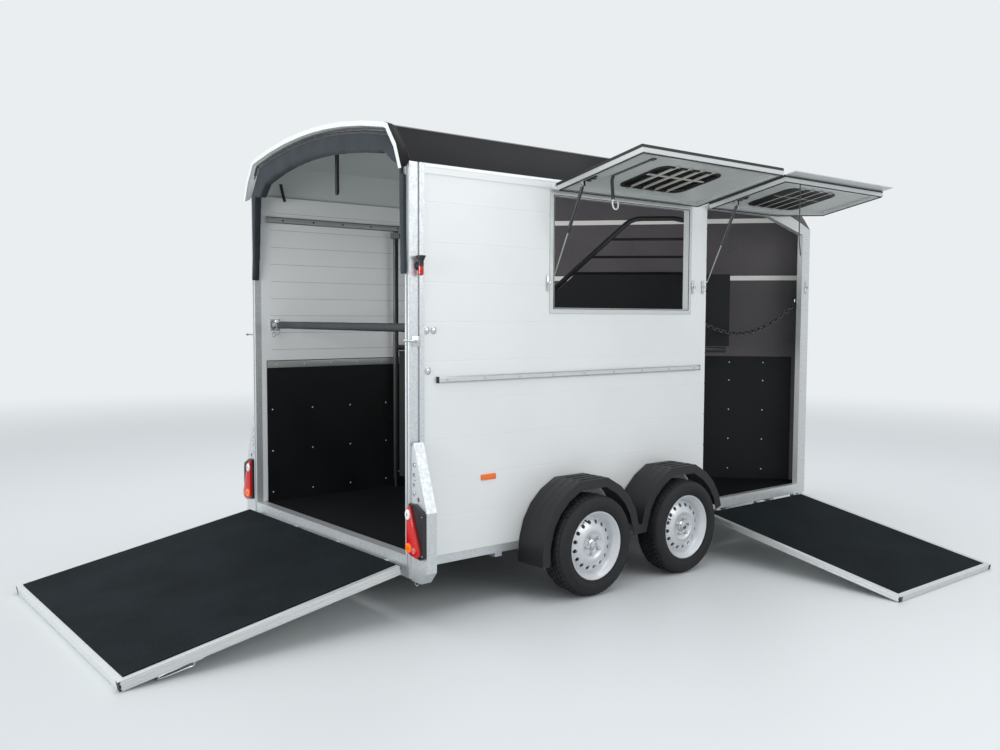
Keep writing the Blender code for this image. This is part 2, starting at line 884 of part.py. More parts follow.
def make_tack_wall():
    """The slanted wall from behind the front right post to the left wall, up to the roof."""
    along = Vector((math.cos(tack_angle), -math.sin(tack_angle)))
    through = Vector((rear_x + tack_point[0], tack_point[1]))
    left_end = through - along * (inner_y + 0.02 - through.y) / math.sin(tack_angle)
    length = (inner_y + 0.02 - tack_end_y + 0.02) / math.sin(tack_angle)
    frame = slant_frame(left_end, tack_angle)
    outline = [(0, seat), (length, seat)]
    for share in (
        1.0, 0.97, 0.93, 0.88, 0.8, 0.65, 0.5, 0.35, 0.2, 0.13, 0.09, 0.06, 0.04, 0.025, 0.012, 0.0
    ):
        rear = left_end + along * length * share
        front = rear + Vector((-along.y, along.x)) * tack_wall_thickness
        outline.append((length * share, min(ceiling(p.x, p.y, 0.006) for p in (rear, front))))
    wall = prism("tack_wall", outline, "Y", (0, tack_wall_thickness), charcoal)
    low, high = 0.06, length - 0.06
    mat = prism(
        "kick_mat_tack",
        [(low, 2 * seat), (high, 2 * seat), (high, kick_height), (low, kick_height)],
        "Y",
        (-kick_thickness - seat, -seat),
        rubber,
    )
    place(frame, [wall, mat])
    cut(
        wall,
        box("cut_tack_left", (rear_x, front_x), (inner_y - seat, 1.3), (-0.5, 3), None, cutters),
        box(
            "cut_tack_right",
            (rear_x, front_x + 1),
            (-half_width - 0.400, tack_end_y),
            (-0.5, 3),
            None,
            cutters,
        ),
    )


def make_left_mat():
    x = (rear_x + 0.075, rear_x + 1.590)
    return box(
        "kick_mat_left", x, (inner_y - kick_thickness - seat, inner_y - seat), (seat, kick_height), rubber
    )


def make_partition():
    """The slant partition: a tube frame with the head grille, and its panel over a curtain."""
    post_top, beam = 1.800, 0.990
    beam_radius = tube_radius - 0.001
    hoop_top, hoop_foot, hoop_crest, hoop_end = 1.880, 0.660, 1.640, 2.080
    frame = pipe("partition_frame", [(0, 0, 0.060), (0, 0, post_top)], tube_radius, black_paint)
    pieces = [
        pipe("beam_tube", [(0.004, 0, beam), (partition_length, 0, beam)], beam_radius),
        rod("floor_pin", (0, 0, seat), (0, 0, 0.100), 0.012, sides=12),
        pipe(
            "hoop_tube",
            rounded(
                [
                    (hoop_foot, 0, beam),
                    (hoop_crest, 0, hoop_top),
                    (hoop_end, 0, hoop_top),
                    (hoop_end, 0, beam),
                ],
                0.16,
            ),
            tube_radius - 0.002,
        ),
        box("post_bracket", (-0.030, 0.030), (-0.030, 0.030), (post_top - 0.050, post_top - 0.010)),
        rod("curtain_rail", (0.004, 0, 0.110), (1.345, 0, 0.110), 0.011, sides=8),
        rod("curtain_post", (1.335, 0, 0.104), (1.335, 0, beam), 0.012, sides=8),
    ]
    for level in (1.740, 1.620, 1.510, 1.390):
        share = (level - beam) / (hoop_top - beam)
        start = hoop_foot + (hoop_crest - hoop_foot) * share
        pieces.append(
            rod(f"grille_{level}", (start, 0, level), (hoop_end, 0, level), grille_radius, sides=8)
        )
    join(frame, *pieces)
    back = beam_radius + seat
    panel_low, panel_high = beam + 0.025, 1.500
    curtain_high = beam - 0.024
    reach = partition_length + 0.020
    lean = hoop_foot + 0.060 + (hoop_crest - hoop_foot) * (panel_high - panel_low) / (hoop_top - beam)
    outline = [
        (0.030, 0.080),
        (1.340, 0.080),
        (1.340, curtain_high),
        (1.240, curtain_high),
        (1.240, panel_low),
        (reach, panel_low),
        (reach, panel_high),
        (lean, panel_high),
        (hoop_foot + 0.060, panel_low),
        (hoop_foot + 0.060, curtain_high),
        (0.030, curtain_high),
    ]
    panel = prism("partition_panel", outline, "Y", (-back - 0.010, -back), rubber)
    place(slant_frame((partition_post_x, partition_post_y), slant), [frame, panel])
    joint_at("partition_axis", (partition_post_x, partition_post_y, 0), [frame, panel])


def make_breeching_bar():
    """The padded bar across the rear of the box, hung from an eye plate on each side."""
    reach = inner_y - seat
    pad = (-0.790, 0.735)
    profile = [
        (0.0, -reach),
        (0.032, -reach),
        (0.032, -reach + 0.005),
        (bar_radius, -reach + 0.006),
        (bar_radius, pad[0] - 0.006),
        (pad_radius, pad[0]),
        (pad_radius, pad[1]),
        (bar_radius, pad[1] + 0.006),
        (bar_radius, reach - 0.006),
        (0.032, reach - 0.005),
        (0.032, reach),
        (0.0, reach),
    ]
    bar = turned("breeching_bar", list(reversed(profile)), 14, rubber)
    bar.rotation_euler = (math.radians(90), 0, 0)
    bar.location = (rear_x + 0.135, 0, 1.150)


def make_hood():
    """The rolled fabric hood under the rear rim, tapering down the far post and along the near post."""
    arch = []
    for y, z in arch_section(inner_y - seat, rail_top - 0.004, crown_rise(rear_x) - 0.020):
        arch.append((y, z - 0.010))
    foot = rail_top - 0.540
    left = [
        (inner_y - seat, foot), (inner_y - seat, foot + 0.200), (inner_y - seat, rail_top - 0.014)
    ] + arch[1:]
    left_widths = (0.016, 0.030, 0.050, 0.085, 0.105, 0.115, 0.120, 0.120, 0.120, 0.120)
    right = [(inner_y - seat, rail_top - 0.014)] + arch[1:]
    right_widths = (0.020, 0.045, 0.070, 0.090, 0.105, 0.115, 0.120, 0.120, 0.120)

    def inner_line(line, widths):
        points = []
        for i, (y, z) in enumerate(line):
            width = widths[min(i, len(widths) - 1)]
            if z < rail_top:
                points.append((y - width, z))
            else:
                points.append((y - width * (y / inner_y) ** 2, z - width))
        return points

    far = [(-y, z) for y, z in right]
    far_inner = [(-y, z) for y, z in inner_line(right, right_widths)]
    outline = left[:-1] + list(reversed(far)) + far_inner + list(
        reversed(inner_line(left, left_widths)[:-1])
    )
    hood = prism("hood", outline, "X", (rear_x - 0.020, rear_x + 0.030), fabric)
    side = inner_y + 0.019
    leg = [
        (-side, foot - 0.010),
        (-side + 0.038, foot - 0.010),
        (-side + 0.038, rail_top + 0.010),
        (-inner_y + 0.001, rail_top + 0.010),
        (-inner_y + 0.001, rail_top - 0.060),
        (-side, rail_top - 0.060),
    ]
    return join(hood, prism("hood_leg", leg, "X", (rear_x - 0.019, rear_x - seat)))


# Lamps and rear hardware

def make_lamp_bracket(side, word):
    """Folded steel bracket beside the rear post that carries the tail lamp."""
    plate_x = (rear_x + 0.010, rear_x + 0.0130)
    y0 = outer_y + seat
    reach = 0.135
    outline = [
        (y0, 0.560),
        (y0 + 0.020, 0.580),
        (y0 + reach, 0.240),
        (y0 + reach, -0.060),
        (y0 + 0.085, -0.120),
        (y0, -0.120),
    ]
    bracket = prism(f"lamp_bracket_{word}", [(side * y, z) for y, z in outline], "X", plate_x, galvanised)
    edge = [(y0 + 0.020, 0.580), (y0 + reach, 0.240), (y0 + reach, -0.060), (y0 + 0.085, -0.120)]
    inset = [
        (y0 + 0.017, 0.577),
        (y0 + reach - 0.003, 0.239),
        (y0 + reach - 0.003, -0.058),
        (y0 + 0.084, -0.1165),
    ]
    flange = prism(
        f"bracket_flange_{word}",
        [(side * y, z) for y, z in edge + list(reversed(inset))],
        "X",
        (plate_x[0], plate_x[0] + 0.060),
    )
    join(bracket, flange)
    for i, level in enumerate((0.470, 0.420, 0.370, 0.320)):
        hole = rod(
            f"cut_bracket_{word}_{i}",
            (rear_x - 0.05, side * (y0 + 0.022), level),
            (rear_x + 0.05, side * (y0 + 0.022), level),
            0.011,
            None,
            cutters,
            sides=10,
        )
        cut(bracket, hole)
    lower = rod(
        f"cut_bracket_low_{word}",
        (rear_x - 0.05, side * (y0 + 0.060), 0.300),
        (rear_x + 0.05, side * (y0 + 0.060), 0.300),
        0.013,
        None,
        cutters,
        sides=10,
    )
    cut(bracket, lower)
    return bracket


def make_tail_lamp(side, word):
    """Triangular lamp with a round white and a round amber lens on a dark housing."""
    y0 = outer_y + 0.006
    outline = [(y0, 0.262), (y0 + 0.026, 0.272), (y0 + 0.112, 0.050), (y0 + 0.105, 0.022), (y0, 0.030)]
    x = (rear_x - 0.035, rear_x + 0.010 - seat)
    lamp = prism(f"tail_lamp_{word}", [(side * y, z) for y, z in outline], "X", x, red_lens)
    bevel = lamp.modifiers.new("Edges", "BEVEL")
    bevel.width = 0.004
    bevel.segments = 1
    bevel.limit_method = "ANGLE"
    for name, y, z, radius in (
        ("white", 0.022, 0.228, 0.019), ("amber", 0.028, 0.062, 0.024), ("clear", 0.076, 0.054, 0.016)
    ):
        lens = rod(
            f"lens_{name}_{word}",
            (x[0] - 0.006, side * (y0 + y), z),
            (x[0] + 0.01, side * (y0 + y), z),
            radius * 0.86,
            sides=12,
            end_radius=radius,
        )
        join(lamp, lens)
    return lamp


def make_marker_lamp(side, word):
    """Clearance lamp on a flared rubber foot, high on the rear post."""
    z = 1.460
    y = outer_y + seat
    x = rear_x + 0.050
    lamp = rod(
        f"marker_lamp_{word}", (x, side * y, z), (x, side * (y + 0.020), z), 0.022, red_lens, sides=12
    )
    body = rod(
        f"marker_body_{word}",
        (x, side * (y + 0.028), z - 0.050),
        (x, side * (y + 0.028), z + 0.030),
        0.014,
        sides=12,
    )
    cap = rod(
        f"marker_cap_{word}",
        (x, side * (y + 0.028), z + 0.025),
        (x, side * (y + 0.028), z + 0.050),
        0.015,
        sides=12,
        end_radius=0.026,
    )
    return join(lamp, body, cap)


# Wheels, axles, mudguards

bead_radius = 0.1744
flange_radius = 0.1930
tyre_profile = [
    (bead_radius + seat, 0.0600),
    (bead_radius + 0.0088, 0.0645),
    (flange_radius + 0.0006, 0.0690),
    (flange_radius + 0.0020, 0.0795),
    (0.2300, 0.0900),
    (0.2600, 0.0850),
    (0.2770, 0.0715),
    (tyre_radius, 0.0500),
]
tyre_profile = tyre_profile + [(r, -w) for r, w in reversed(tyre_profile)]

disc_inner = 0.0230  # inner face of the wheel's disc at the hub, from the wheel's middle
rim_profile = [
    (0.0000, 0.0560),
    (0.0290, 0.0540),
    (0.0325, 0.0300),
    (0.0620, 0.0290),
    (0.0720, 0.0460),
    (0.1000, 0.0470),
    (0.1450, 0.0220),
    (0.1520, 0.0230),
    (0.1700, 0.0560),
    (0.1870, 0.0755),
    (flange_radius, 0.0735),
    (bead_radius, 0.0640),
    (0.1560, 0.0350),
    (0.1560, -0.0200),
    (bead_radius, -0.0340),
    (bead_radius, -0.0640),
    (flange_radius, -0.0735),
    (0.1870, -0.0755),
    (0.1490, -0.0240),
    (0.1490, 0.0120),
    (0.1440, 0.0160),
    (0.1000, 0.0410),
    (0.0720, 0.0400),
    (0.0620, disc_inner),
    (0.0000, disc_inner),
]
wheel_sides = 24
rim_holes = 16
rim_hole_circle = 0.1290
rim_hole_radius = 0.0130


def shared_wheel_meshes():
    """The tyre and the rim as finished meshes, turned about Y with the outer side at +Y."""
    tyre = turned("tyre_master", tyre_profile, wheel_sides, rubber, cutters)
    rim = turned("rim_master", rim_profile, wheel_sides, silver_rim, cutters)
    for i in range(rim_holes):
        angle = 2 * math.pi * (i + 0.5) / rim_holes
        x, y = rim_hole_circle * math.cos(angle), rim_hole_circle * math.sin(angle)
        cut(
            rim, rod(f"rim_hole_{i}", (x, y, 0.010), (x, y, 0.080), rim_hole_radius, None, cutters, sides=6)
        )
    bpy.context.view_layer.update()
    graph = bpy.context.evaluated_depsgraph_get()
    meshes = []
    for master in (tyre, rim):
        mesh = bpy.data.meshes.new_from_object(master.evaluated_get(graph))
        mesh.transform(Matrix.Rotation(math.radians(-90), 4, "X"))
        mesh.shade_smooth()
        mesh.set_sharp_from_angle(angle=math.radians(35))
        meshes.append(mesh)
    for leftover in [o for o in cutters.objects if o.name.startswith(("rim_", "tyre_"))]:
        bpy.data.objects.remove(leftover)
    return meshes


def make_wheels():
    tyre_mesh, rim_mesh = shared_wheel_meshes()
    for row, x in zip(("rear", "front"), wheel_x):
        for side, word in ((1, "left"), (-1, "right")):
            for part, mesh, material in (("tyre", tyre_mesh, rubber), ("rim", rim_mesh, silver_rim)):
                wheel = add(f"{part}_{row}_{word}", mesh.copy(), None)
                wheel.data.materials.clear()
                wheel.data.materials.append(material)
                wheel.location = (x, side * wheel_y, wheel_z)
                wheel.rotation_euler = (0, 0, 0 if side > 0 else math.pi)


def make_axles():
    arm = 0.150
    axle_reach = half_width + 0.025
    tube_z = -0.160
    for word, x in zip(("rear", "front"), wheel_x):
        axle = box(
            f"axle_{word}",
            (x + arm - 0.040, x + arm + 0.040),
            (-axle_reach, axle_reach),
            (tube_z - 0.040, tube_z + 0.0397),
            galvanised,
        )
        pieces = []
        for side in (1, -1):
            swing = prism(
                f"arm_{word}_{side}",
                [
                    (x + arm - 0.01, tube_z - 0.034),
                    (x + arm + 0.03, tube_z),
                    (x + arm, tube_z + 0.036),
                    (x + 0.02, wheel_z + 0.030),
                    (x - 0.03, wheel_z),
                    (x, wheel_z - 0.036),
                ],
                "Y",
                tuple(sorted((side * (half_width + 0.008), side * (half_width + 0.040)))),
            )
            drum = rod(
                f"drum_{word}_{side}",
                (x, side * (half_width + 0.035), wheel_z),
                (x, side * (wheel_y - 0.010), wheel_z),
                0.115,
                sides=20,
            )
            stub = rod(
                f"stub_{word}_{side}",
                (x, side * (half_width + 0.050), wheel_z),
                (x, side * (wheel_y + disc_inner - seat), wheel_z),
                0.026,
                sides=12,
            )
            bracket_y = sorted((side * 0.410, side * 0.480))
            bracket = box(
                f"axle_seat_{word}_{side}",
                (x + arm - 0.07, x + arm + 0.07),
                bracket_y,
                (tube_z + 0.030, -0.120 - seat),
            )
            pieces += [swing, drum, stub, bracket]
        join(axle, *pieces)


def guard_line():
    """Side view of a mudguard from the foot of its rear flap to its front end."""
    rear, front = (x + guard_lead for x in wheel_x)
    line = [(rear - guard_radius - 0.004, guard_foot_z), (rear - guard_radius - 0.002, wheel_z + 0.020)]
    for middle, end_angle in ((rear, 9), (front, 12)):
        for angle in (171, 156, 141, 125):
            line.append(on_arch(middle, angle))
        line += [(middle - guard_flat, wheel_z + guard_crown), (middle + guard_flat, wheel_z + guard_crown)]
        for angle in (55, 39, 24, end_angle):
            line.append(on_arch(middle, angle))
    return line


def on_arch(middle, angle):
    turn = math.radians(angle)
    return middle + guard_radius * math.cos(turn), wheel_z + guard_radius * math.sin(turn)


def make_mudguards():
    """One moulding a side: two faceted arches with an outer skirt, a rear flap and a valley between."""
    line = [Vector(point) for point in guard_line()]
    for side, word in ((1, "left"), (-1, "right")):
        rings = []
        for i, point in enumerate(line):
            before, after = line[max(i - 1, 0)], line[min(i + 1, len(line) - 1)]
            first = (point - before).normalized() if i else (after - point).normalized()
            second = (after - point).normalized() if i < len(line) - 1 else first
            heading = (first + second).normalized()
            inward = Vector((heading.y, -heading.x)) / max(0.6, heading.dot(first))
            low, deep = point + inward * guard_thickness, point + inward * guard_skirt
            corners = [
                (point, guard_inner_y),
                (point, guard_outer_y),
                (deep, guard_outer_y),
                (deep, guard_outer_y - guard_thickness),
                (low, guard_outer_y - guard_thickness),
                (low, guard_inner_y),
            ]
            rings.append([(p.x, side * y, p.y) for p, y in corners])
        guard = solid(f"mudguard_{word}", rings, black_plastic)
        crown = wheel_z + guard_crown
        ribs = []
        for x in wheel_x:
            middle = x + guard_lead
            outline = [
                (middle - 0.104, crown - 0.002),
                (middle + 0.104, crown - 0.002),
                (middle + 0.084, crown + 0.005),
                (middle - 0.084, crown + 0.005),
            ]
            for i in range(3):
                low = guard_inner_y + 0.038 + 0.054 * i
                ribs.append(
                    prism(
                        f"rib_{word}_{x}_{i}",
                        outline,
                        "Y",
                        tuple(sorted((side * low, side * (low + 0.032)))),
                    )
                )
        join(guard, *ribs)


# Ramps

def ramp_slope(length, drop, below):
    """Angle below the horizontal at which a ramp's lower far edge meets the ground."""
    return math.asin(drop / math.hypot(length, below)) - math.atan2(below, length)


def turn_about(pivot, axis, angle, pieces):
    pivot = Vector(pivot)
    place(Matrix.Translation(pivot) @ Matrix.Rotation(angle, 4, axis) @ Matrix.Translation(-pivot), pieces)


def make_rear_ramp():
    """Modelled closed and upright, then turned down about its hinge."""
    hinge = Vector((rear_x - rear_hinge_offset, 0, rear_hinge_z))
    inner = rear_x - swing_gap - mat_thickness
    outer = inner - ramp_thickness
    low, high = hinge.z + 0.012, hinge.z + rear_ramp_length
    half = rear_ramp_half_width
    # rails stand round a recessed plank deck
    outline = [(outer, -half), (inner, -half), (inner, half), (outer, half)]
    ramp = prism("rear_ramp", outline, "Z", (low, high), aluminium)
    recess = box(
        "cut_rear_ramp",
        (inner - 0.004, inner + 0.1),
        (-half + mat_edge, half - mat_edge),
        (low - 0.1, high - mat_edge),
        None,
        cutters,
    )
    under = box(
        "cut_rear_under",
        (outer - 0.1, outer + 0.020),
        (-half + 0.035, half - 0.035),
        (low + 0.060, high - 0.060),
        None,
        cutters,
    )
    cut(ramp, recess, under)
    knuckles = []
    for y in rear_hinges:
        knuckles.append(
            rod(f"rear_knuckle_{y}", (hinge.x, y, hinge.z), (hinge.x, y + 0.08, hinge.z), 0.011, sides=12)
        )
        knuckles.append(
            box(
                f"rear_leaf_{y}",
                (hinge.x - 0.010, hinge.x + 0.009),
                (y + 0.004, y + 0.076),
                (hinge.z + 0.001, low + 0.02),
            )
        )
    handle_z = high - 0.300
    handle = pipe(
        "rear_ramp_handle",
        rounded(
            [
                (outer + 0.03, -0.250, handle_z),
                (outer - 0.026, -0.250, handle_z),
                (outer - 0.026, 0.250, handle_z),
                (outer + 0.03, 0.250, handle_z),
            ],
            0.02,
        ),
        0.008,
    )
    ribs = [
        box(
            f"rear_rib_{y}", (outer + 0.001, outer + 0.03), (y - 0.02, y + 0.02), (low + 0.05, high - 0.05)
        ) for y in (-0.42, 0.0, 0.42)
    ]
    lug_y = spring_foot[1]
    lug = box(
        "spring_lug",
        (outer - spring_below - 0.008, outer + 0.030),
        (lug_y + 0.0055, lug_y + 0.0115),
        (hinge.z + spring_out - 0.012, hinge.z + spring_out + 0.012),
    )
    join(ramp, *knuckles, handle, *ribs, lug)
    mat = box(
        "rear_ramp_mat",
        (inner - 0.004 + seat, inner + mat_thickness),
        (-half + mat_edge + 0.002, half - mat_edge - 0.002),
        (low + 0.002, high - mat_edge - 0.002),
        rubber,
    )
    beta = ramp_slope(rear_ramp_length, rear_hinge_z - ground_z - 0.0005, hinge.x - outer)
    turn_about(hinge, "Y", -math.pi / 2 - beta, [ramp, mat])
    joint_at("rear_ramp_axis", hinge, [ramp, mat])
    return hinge, beta, outer


def make_side_ramp():
    hinge = Vector((0, side_hinge_y, side_hinge_z))
    inner = -outer_y - swing_gap
    outer = inner - side_ramp_thickness
    low, high = hinge.z + 0.012, hinge.z + side_ramp_length
    x = (rear_x + side_ramp_start, rear_x + side_ramp_end)
    ramp = box("side_ramp", x, (outer, inner), (low, high), aluminium)
    recess = box(
        "cut_side_ramp",
        (x[0] + mat_edge, x[1] - mat_edge),
        (inner - mat_thickness - 0.001, inner + 0.1),
        (low - 0.1, high - mat_edge),
        None,
        cutters,
    )
    under = box(
        "cut_side_under",
        (x[0] + 0.035, x[1] - 0.035),
        (outer - 0.1, outer + 0.016),
        (low + 0.060, high - 0.060),
        None,
        cutters,
    )
    cut(ramp, recess, under)
    pieces = []
    for offset in side_hinges:
        start = x[0] + offset
        pieces.append(
            rod(
                f"side_knuckle_{offset}",
                (start, hinge.y, hinge.z),
                (start + 0.08, hinge.y, hinge.z),
                0.009,
                sides=12,
            )
        )
        pieces.append(
            box(
                f"side_leaf_{offset}",
                (start + 0.004, start + 0.076),
                (hinge.y - 0.008, hinge.y + 0.008),
                (hinge.z + 0.001, low + 0.02),
            )
        )
    handle_z = high - 0.300
    centre = sum(x) / 2
    pieces.append(
        pipe(
            "side_ramp_handle",
            rounded(
                [
                    (centre - 0.2, outer + 0.02, handle_z),
                    (centre - 0.2, outer - 0.026, handle_z),
                    (centre + 0.2, outer - 0.026, handle_z),
                    (centre + 0.2, outer + 0.02, handle_z),
                ],
                0.02,
            ),
            0.007,
        )
    )
    for share in (0.33, 0.67):
        rib = x[0] + (x[1] - x[0]) * share
        pieces.append(
            box(
                f"side_rib_{share}",
                (rib - 0.02, rib + 0.02),
                (outer + 0.001, outer + 0.02),
                (low + 0.05, high - 0.05),
            )
        )
    join(ramp, *pieces)
    mat = box(
        "side_ramp_mat",
        (x[0] + mat_edge + 0.002, x[1] - mat_edge - 0.002),
        (inner - mat_thickness - 0.001 + seat, inner - 0.001),
        (low + 0.002, high - mat_edge - 0.002),
        rubber,
    )
    drop = side_hinge_z - ground_z - 0.0005
    beta = ramp_slope(side_ramp_length, drop, hinge.y - outer)
    turn_about(hinge, "X", math.pi / 2 + beta, [ramp, mat])
    joint_at("side_ramp_axis", hinge, [ramp, mat])
    return hinge, beta


# Flaps and struts

def gas_strut(name, base, foot, body_radius, rod_radius, body_length, rod_length):
    """A cylinder from its base pin towards the foot, and the rod from the foot back inside it."""
    base, foot = Vector(base), Vector(foot)
    length = (foot - base).length
    frame = Matrix.Translation(base) @ (foot - base).to_track_quat("Z", "Y").to_matrix().to_4x4()
    bore = rod_radius + pin_gap
    profile = [
        (0.0, 0.0),
        (0.0045, 0.0),
        (0.0045, 0.012),
        (body_radius, 0.015),
        (body_radius, body_length),
        (bore, body_length),
        (bore, 0.017),
        (0.0, 0.017),
    ]
    body = turned(name + "_cylinder", list(reversed(profile)), 12, black_paint)
    shaft = rod(name + "_rod", (0, 0, length - rod_length), (0, 0, length), rod_radius, chrome, sides=10)
    place(frame, [body, shaft])
    joint_at(name + "_pivot", base, [body])


def flap_outline(x, bottom, top, corner_cut, margin):
    """Outline of a flap in its own plane, with its upper front corner cut off where it has one."""
    outline = [(x[0] + margin, bottom + margin), (x[1] - margin, bottom + margin)]
    if corner_cut:
        outline.append((x[1] - margin, top - corner_cut[1] - margin))
        outline.append((x[1] - corner_cut[0] - margin, top - margin))
    else:
        outline.append((x[1] - margin, top - margin))
    outline.append((x[0] + margin, top - margin))
    return outline


def rounded_cutter(name, x, y, z, radius):
    """A cutter through a panel in the XZ plane with rounded corners."""
    hole = box(name, x, y, z, None, cutters)
    round_corners(hole, radius)
    return hole


def round_corners(plate, radius):
    """Bevel the four edges of a box that run along Y."""
    mesh = plate.data
    weights = mesh.attributes.new("bevel_weight_edge", "FLOAT", "EDGE")
    for edge in mesh.edges:
        a, b = (mesh.vertices[v].co for v in edge.vertices)
        weights.data[edge.index].value = 1.0 if abs(a.y - b.y) > 1e-6 else 0.0
    bevel = plate.modifiers.new("Corners", "BEVEL")
    bevel.width = radius
    bevel.segments = 3
    bevel.limit_method = "WEIGHT"


def make_flap(name, x, lip, corner_cut, window_x):
    """Modelled closed and hanging, then turned up about its hinge."""
    hinge = Vector((sum(x) / 2, -flap_hinge_y, flap_hinge_z))
    inner = flap_inner_y
    outer = inner - flap_thickness
    high, low = hinge.z - flap_edge, hinge.z - flap_length
    core_low = low + lip
    flap = prism(name, flap_outline(x, core_low, high, corner_cut, 0), "Y", (outer, inner), aluminium)
    pieces = []
    if lip:
        skin = [
            (x[0] + 0.001, low),
            (x[1] - 0.001, low),
            (x[1] - 0.001, core_low + 0.02),
            (x[0] + 0.001, core_low + 0.02),
        ]
        join(flap, prism(name + "_skin", skin, "Y", (outer + 0.0005, outer + flap_skin)))
    recess = flap_outline(x, core_low, high, corner_cut, 0.032)
    cut(flap, prism(f"cut_{name}_recess", recess, "Y", (inner - 0.020, inner + 0.1), None, cutters))
    middle = core_low + 0.52 * (high - core_low)
    pane_x, pane_z = window_x, (middle - 0.165, middle + 0.165)
    cut(flap, rounded_cutter(f"cut_{name}_window", pane_x, (outer - 0.1, inner + 0.1), pane_z, 0.05))
    for share in (0.2, 0.4, 0.6, 0.8):
        bar = pane_x[0] + share * (pane_x[1] - pane_x[0])
        ends = (bar, inner - 0.020, pane_z[0] - 0.012), (bar, inner - 0.020, pane_z[1] + 0.012)
        pieces.append(rod(f"{name}_bar_{share}", *ends, 0.006, sides=8))
    knuckle_x = flap_knuckle_x[1 if corner_cut else 0]
    pieces.append(
        rod(
            name + "_knuckle",
            (knuckle_x[0], hinge.y, hinge.z),
            (knuckle_x[1], hinge.y, hinge.z),
            hinge_radius,
            sides=10,
        )
    )
    pieces.append(
        box(
            name + "_leaf",
            (knuckle_x[0] + 0.002, knuckle_x[1] - 0.002),
            (hinge.y - 0.005, hinge.y + 0.005),
            (high - 0.01, hinge.z - 0.001),
        )
    )
    lug_x = strut_x[0] if name == "flap_rear" else strut_x[1]
    pin_z = hinge.z - strut_out
    pin_y = hinge.y + strut_below
    lug = box(
        name + "_lug",
        (lug_x - 0.0105, lug_x - 0.0050),
        (inner - 0.030, pin_y + 0.006),
        (pin_z - 0.008, pin_z + 0.008),
    )
    pieces.append(lug)
    join(flap, *pieces)
    pane = box(
        f"{name}_window",
        (pane_x[0] + 0.001, pane_x[1] - 0.001),
        (outer + 0.004, outer + 0.007),
        (pane_z[0] + 0.001, pane_z[1] - 0.001),
        smoked,
    )
    round_corners(pane, 0.05)
    turn_about(hinge, "X", -math.pi / 2 - flap_open, [flap, pane])
    joint_at(name + "_axis", hinge, [flap, pane])
    return hinge


def on_flap(hinge, out, below):
    """A point on the open flap, out from its hinge and below the plane through the hinge axis."""
    return Vector((
        0,
        hinge.y - out * math.cos(flap_open) - below * math.sin(flap_open),
        hinge.z + out * math.sin(flap_open) - below * math.cos(flap_open),
    ))


# Drawbar, coupling and jockey wheel

def make_drawbar():
    """A-frame under the front of the chassis that rises in front of the nose to the coupling plate."""
    pieces = []
    low, under = -0.118, -0.0905  # under the cross members
    stations = (
        (front_x - 0.300, 0.418, low, under),
        (front_x + 0.050, 0.418, low, under),
        (front_x + 0.510, 0.230, low, under + 0.020),
        (jack_x - 0.090, 0.132, draw_bottom + 0.003, draw_top - 0.001),
        (jack_x + 0.050, 0.076, draw_bottom + 0.003, draw_top - 0.001),
        (coupling_x - 0.120, 0.076, draw_bottom + 0.003, draw_top - 0.001),
    )
    for side in (1, -1):
        rings = []
        for x, y, bottom, top in stations:
            rings.append(
                [
                    (x, side * y, bottom),
                    (x, side * (y - 0.055), bottom),
                    (x, side * (y - 0.055), top),
                    (x, side * y, top),
                ]
            )
        pieces.append(solid(f"draw_beam_{side}", rings, None))
    plate = box(
        "drawbar", (jack_x - 0.06, coupling_x - 0.10), (-0.080, 0.080), (draw_bottom, draw_top), galvanised
    )
    pieces.append(
        box("draw_tie", (front_x + 0.28, front_x + 0.34), (-0.31, 0.31), (low + 0.002, under - 0.002))
    )
    return join(plate, *pieces)


def make_coupling():
    z = coupling_z
    coupling = box(
        "coupling",
        (jack_x + 0.10, coupling_x - 0.13),
        (-0.045, 0.045),
        (draw_top + seat, z + 0.045),
        black_paint,
    )
    tube = rod("overrun_tube", (coupling_x - 0.20, 0, z), (coupling_x + 0.0, 0, z), 0.030, sides=16)
    head = rod(
        "coupling_head",
        (coupling_x - 0.02, 0, z - 0.030),
        (coupling_x - 0.02, 0, z + 0.045),
        0.046,
        sides=16,
        end_radius=0.036,
    )
    nose = rod(
        "coupling_cup",
        (coupling_x - 0.09, 0, z + 0.010),
        (coupling_x - 0.02, 0, z + 0.010),
        0.036,
        sides=12,
    )
    cup = rod(
        "cut_cup",
        (coupling_x - 0.02, 0, z - 0.05),
        (coupling_x - 0.02, 0, z + 0.010),
        0.0275,
        None,
        cutters,
        sides=16,
    )
    lever = pipe(
        "handbrake",
        rounded(
            [(jack_x + 0.16, 0.052, z), (jack_x + 0.10, 0.060, z + 0.22), (jack_x - 0.02, 0.060, z + 0.36)],
            0.08,
        ),
        0.010,
    )
    boss = rod("handbrake_boss", (jack_x + 0.16, 0.04, z), (jack_x + 0.16, 0.066, z), 0.022, sides=12)
    grip = pipe(
        "coupling_grip",
        rounded(
            [
                (coupling_x - 0.02, 0, z + 0.04),
                (coupling_x - 0.06, 0, z + 0.085),
                (coupling_x - 0.17, 0, z + 0.095),
            ],
            0.03,
        ),
        0.011,
    )
    join(coupling, tube, head, nose, lever, boss, grip)
    cut(coupling, cup)
    return coupling


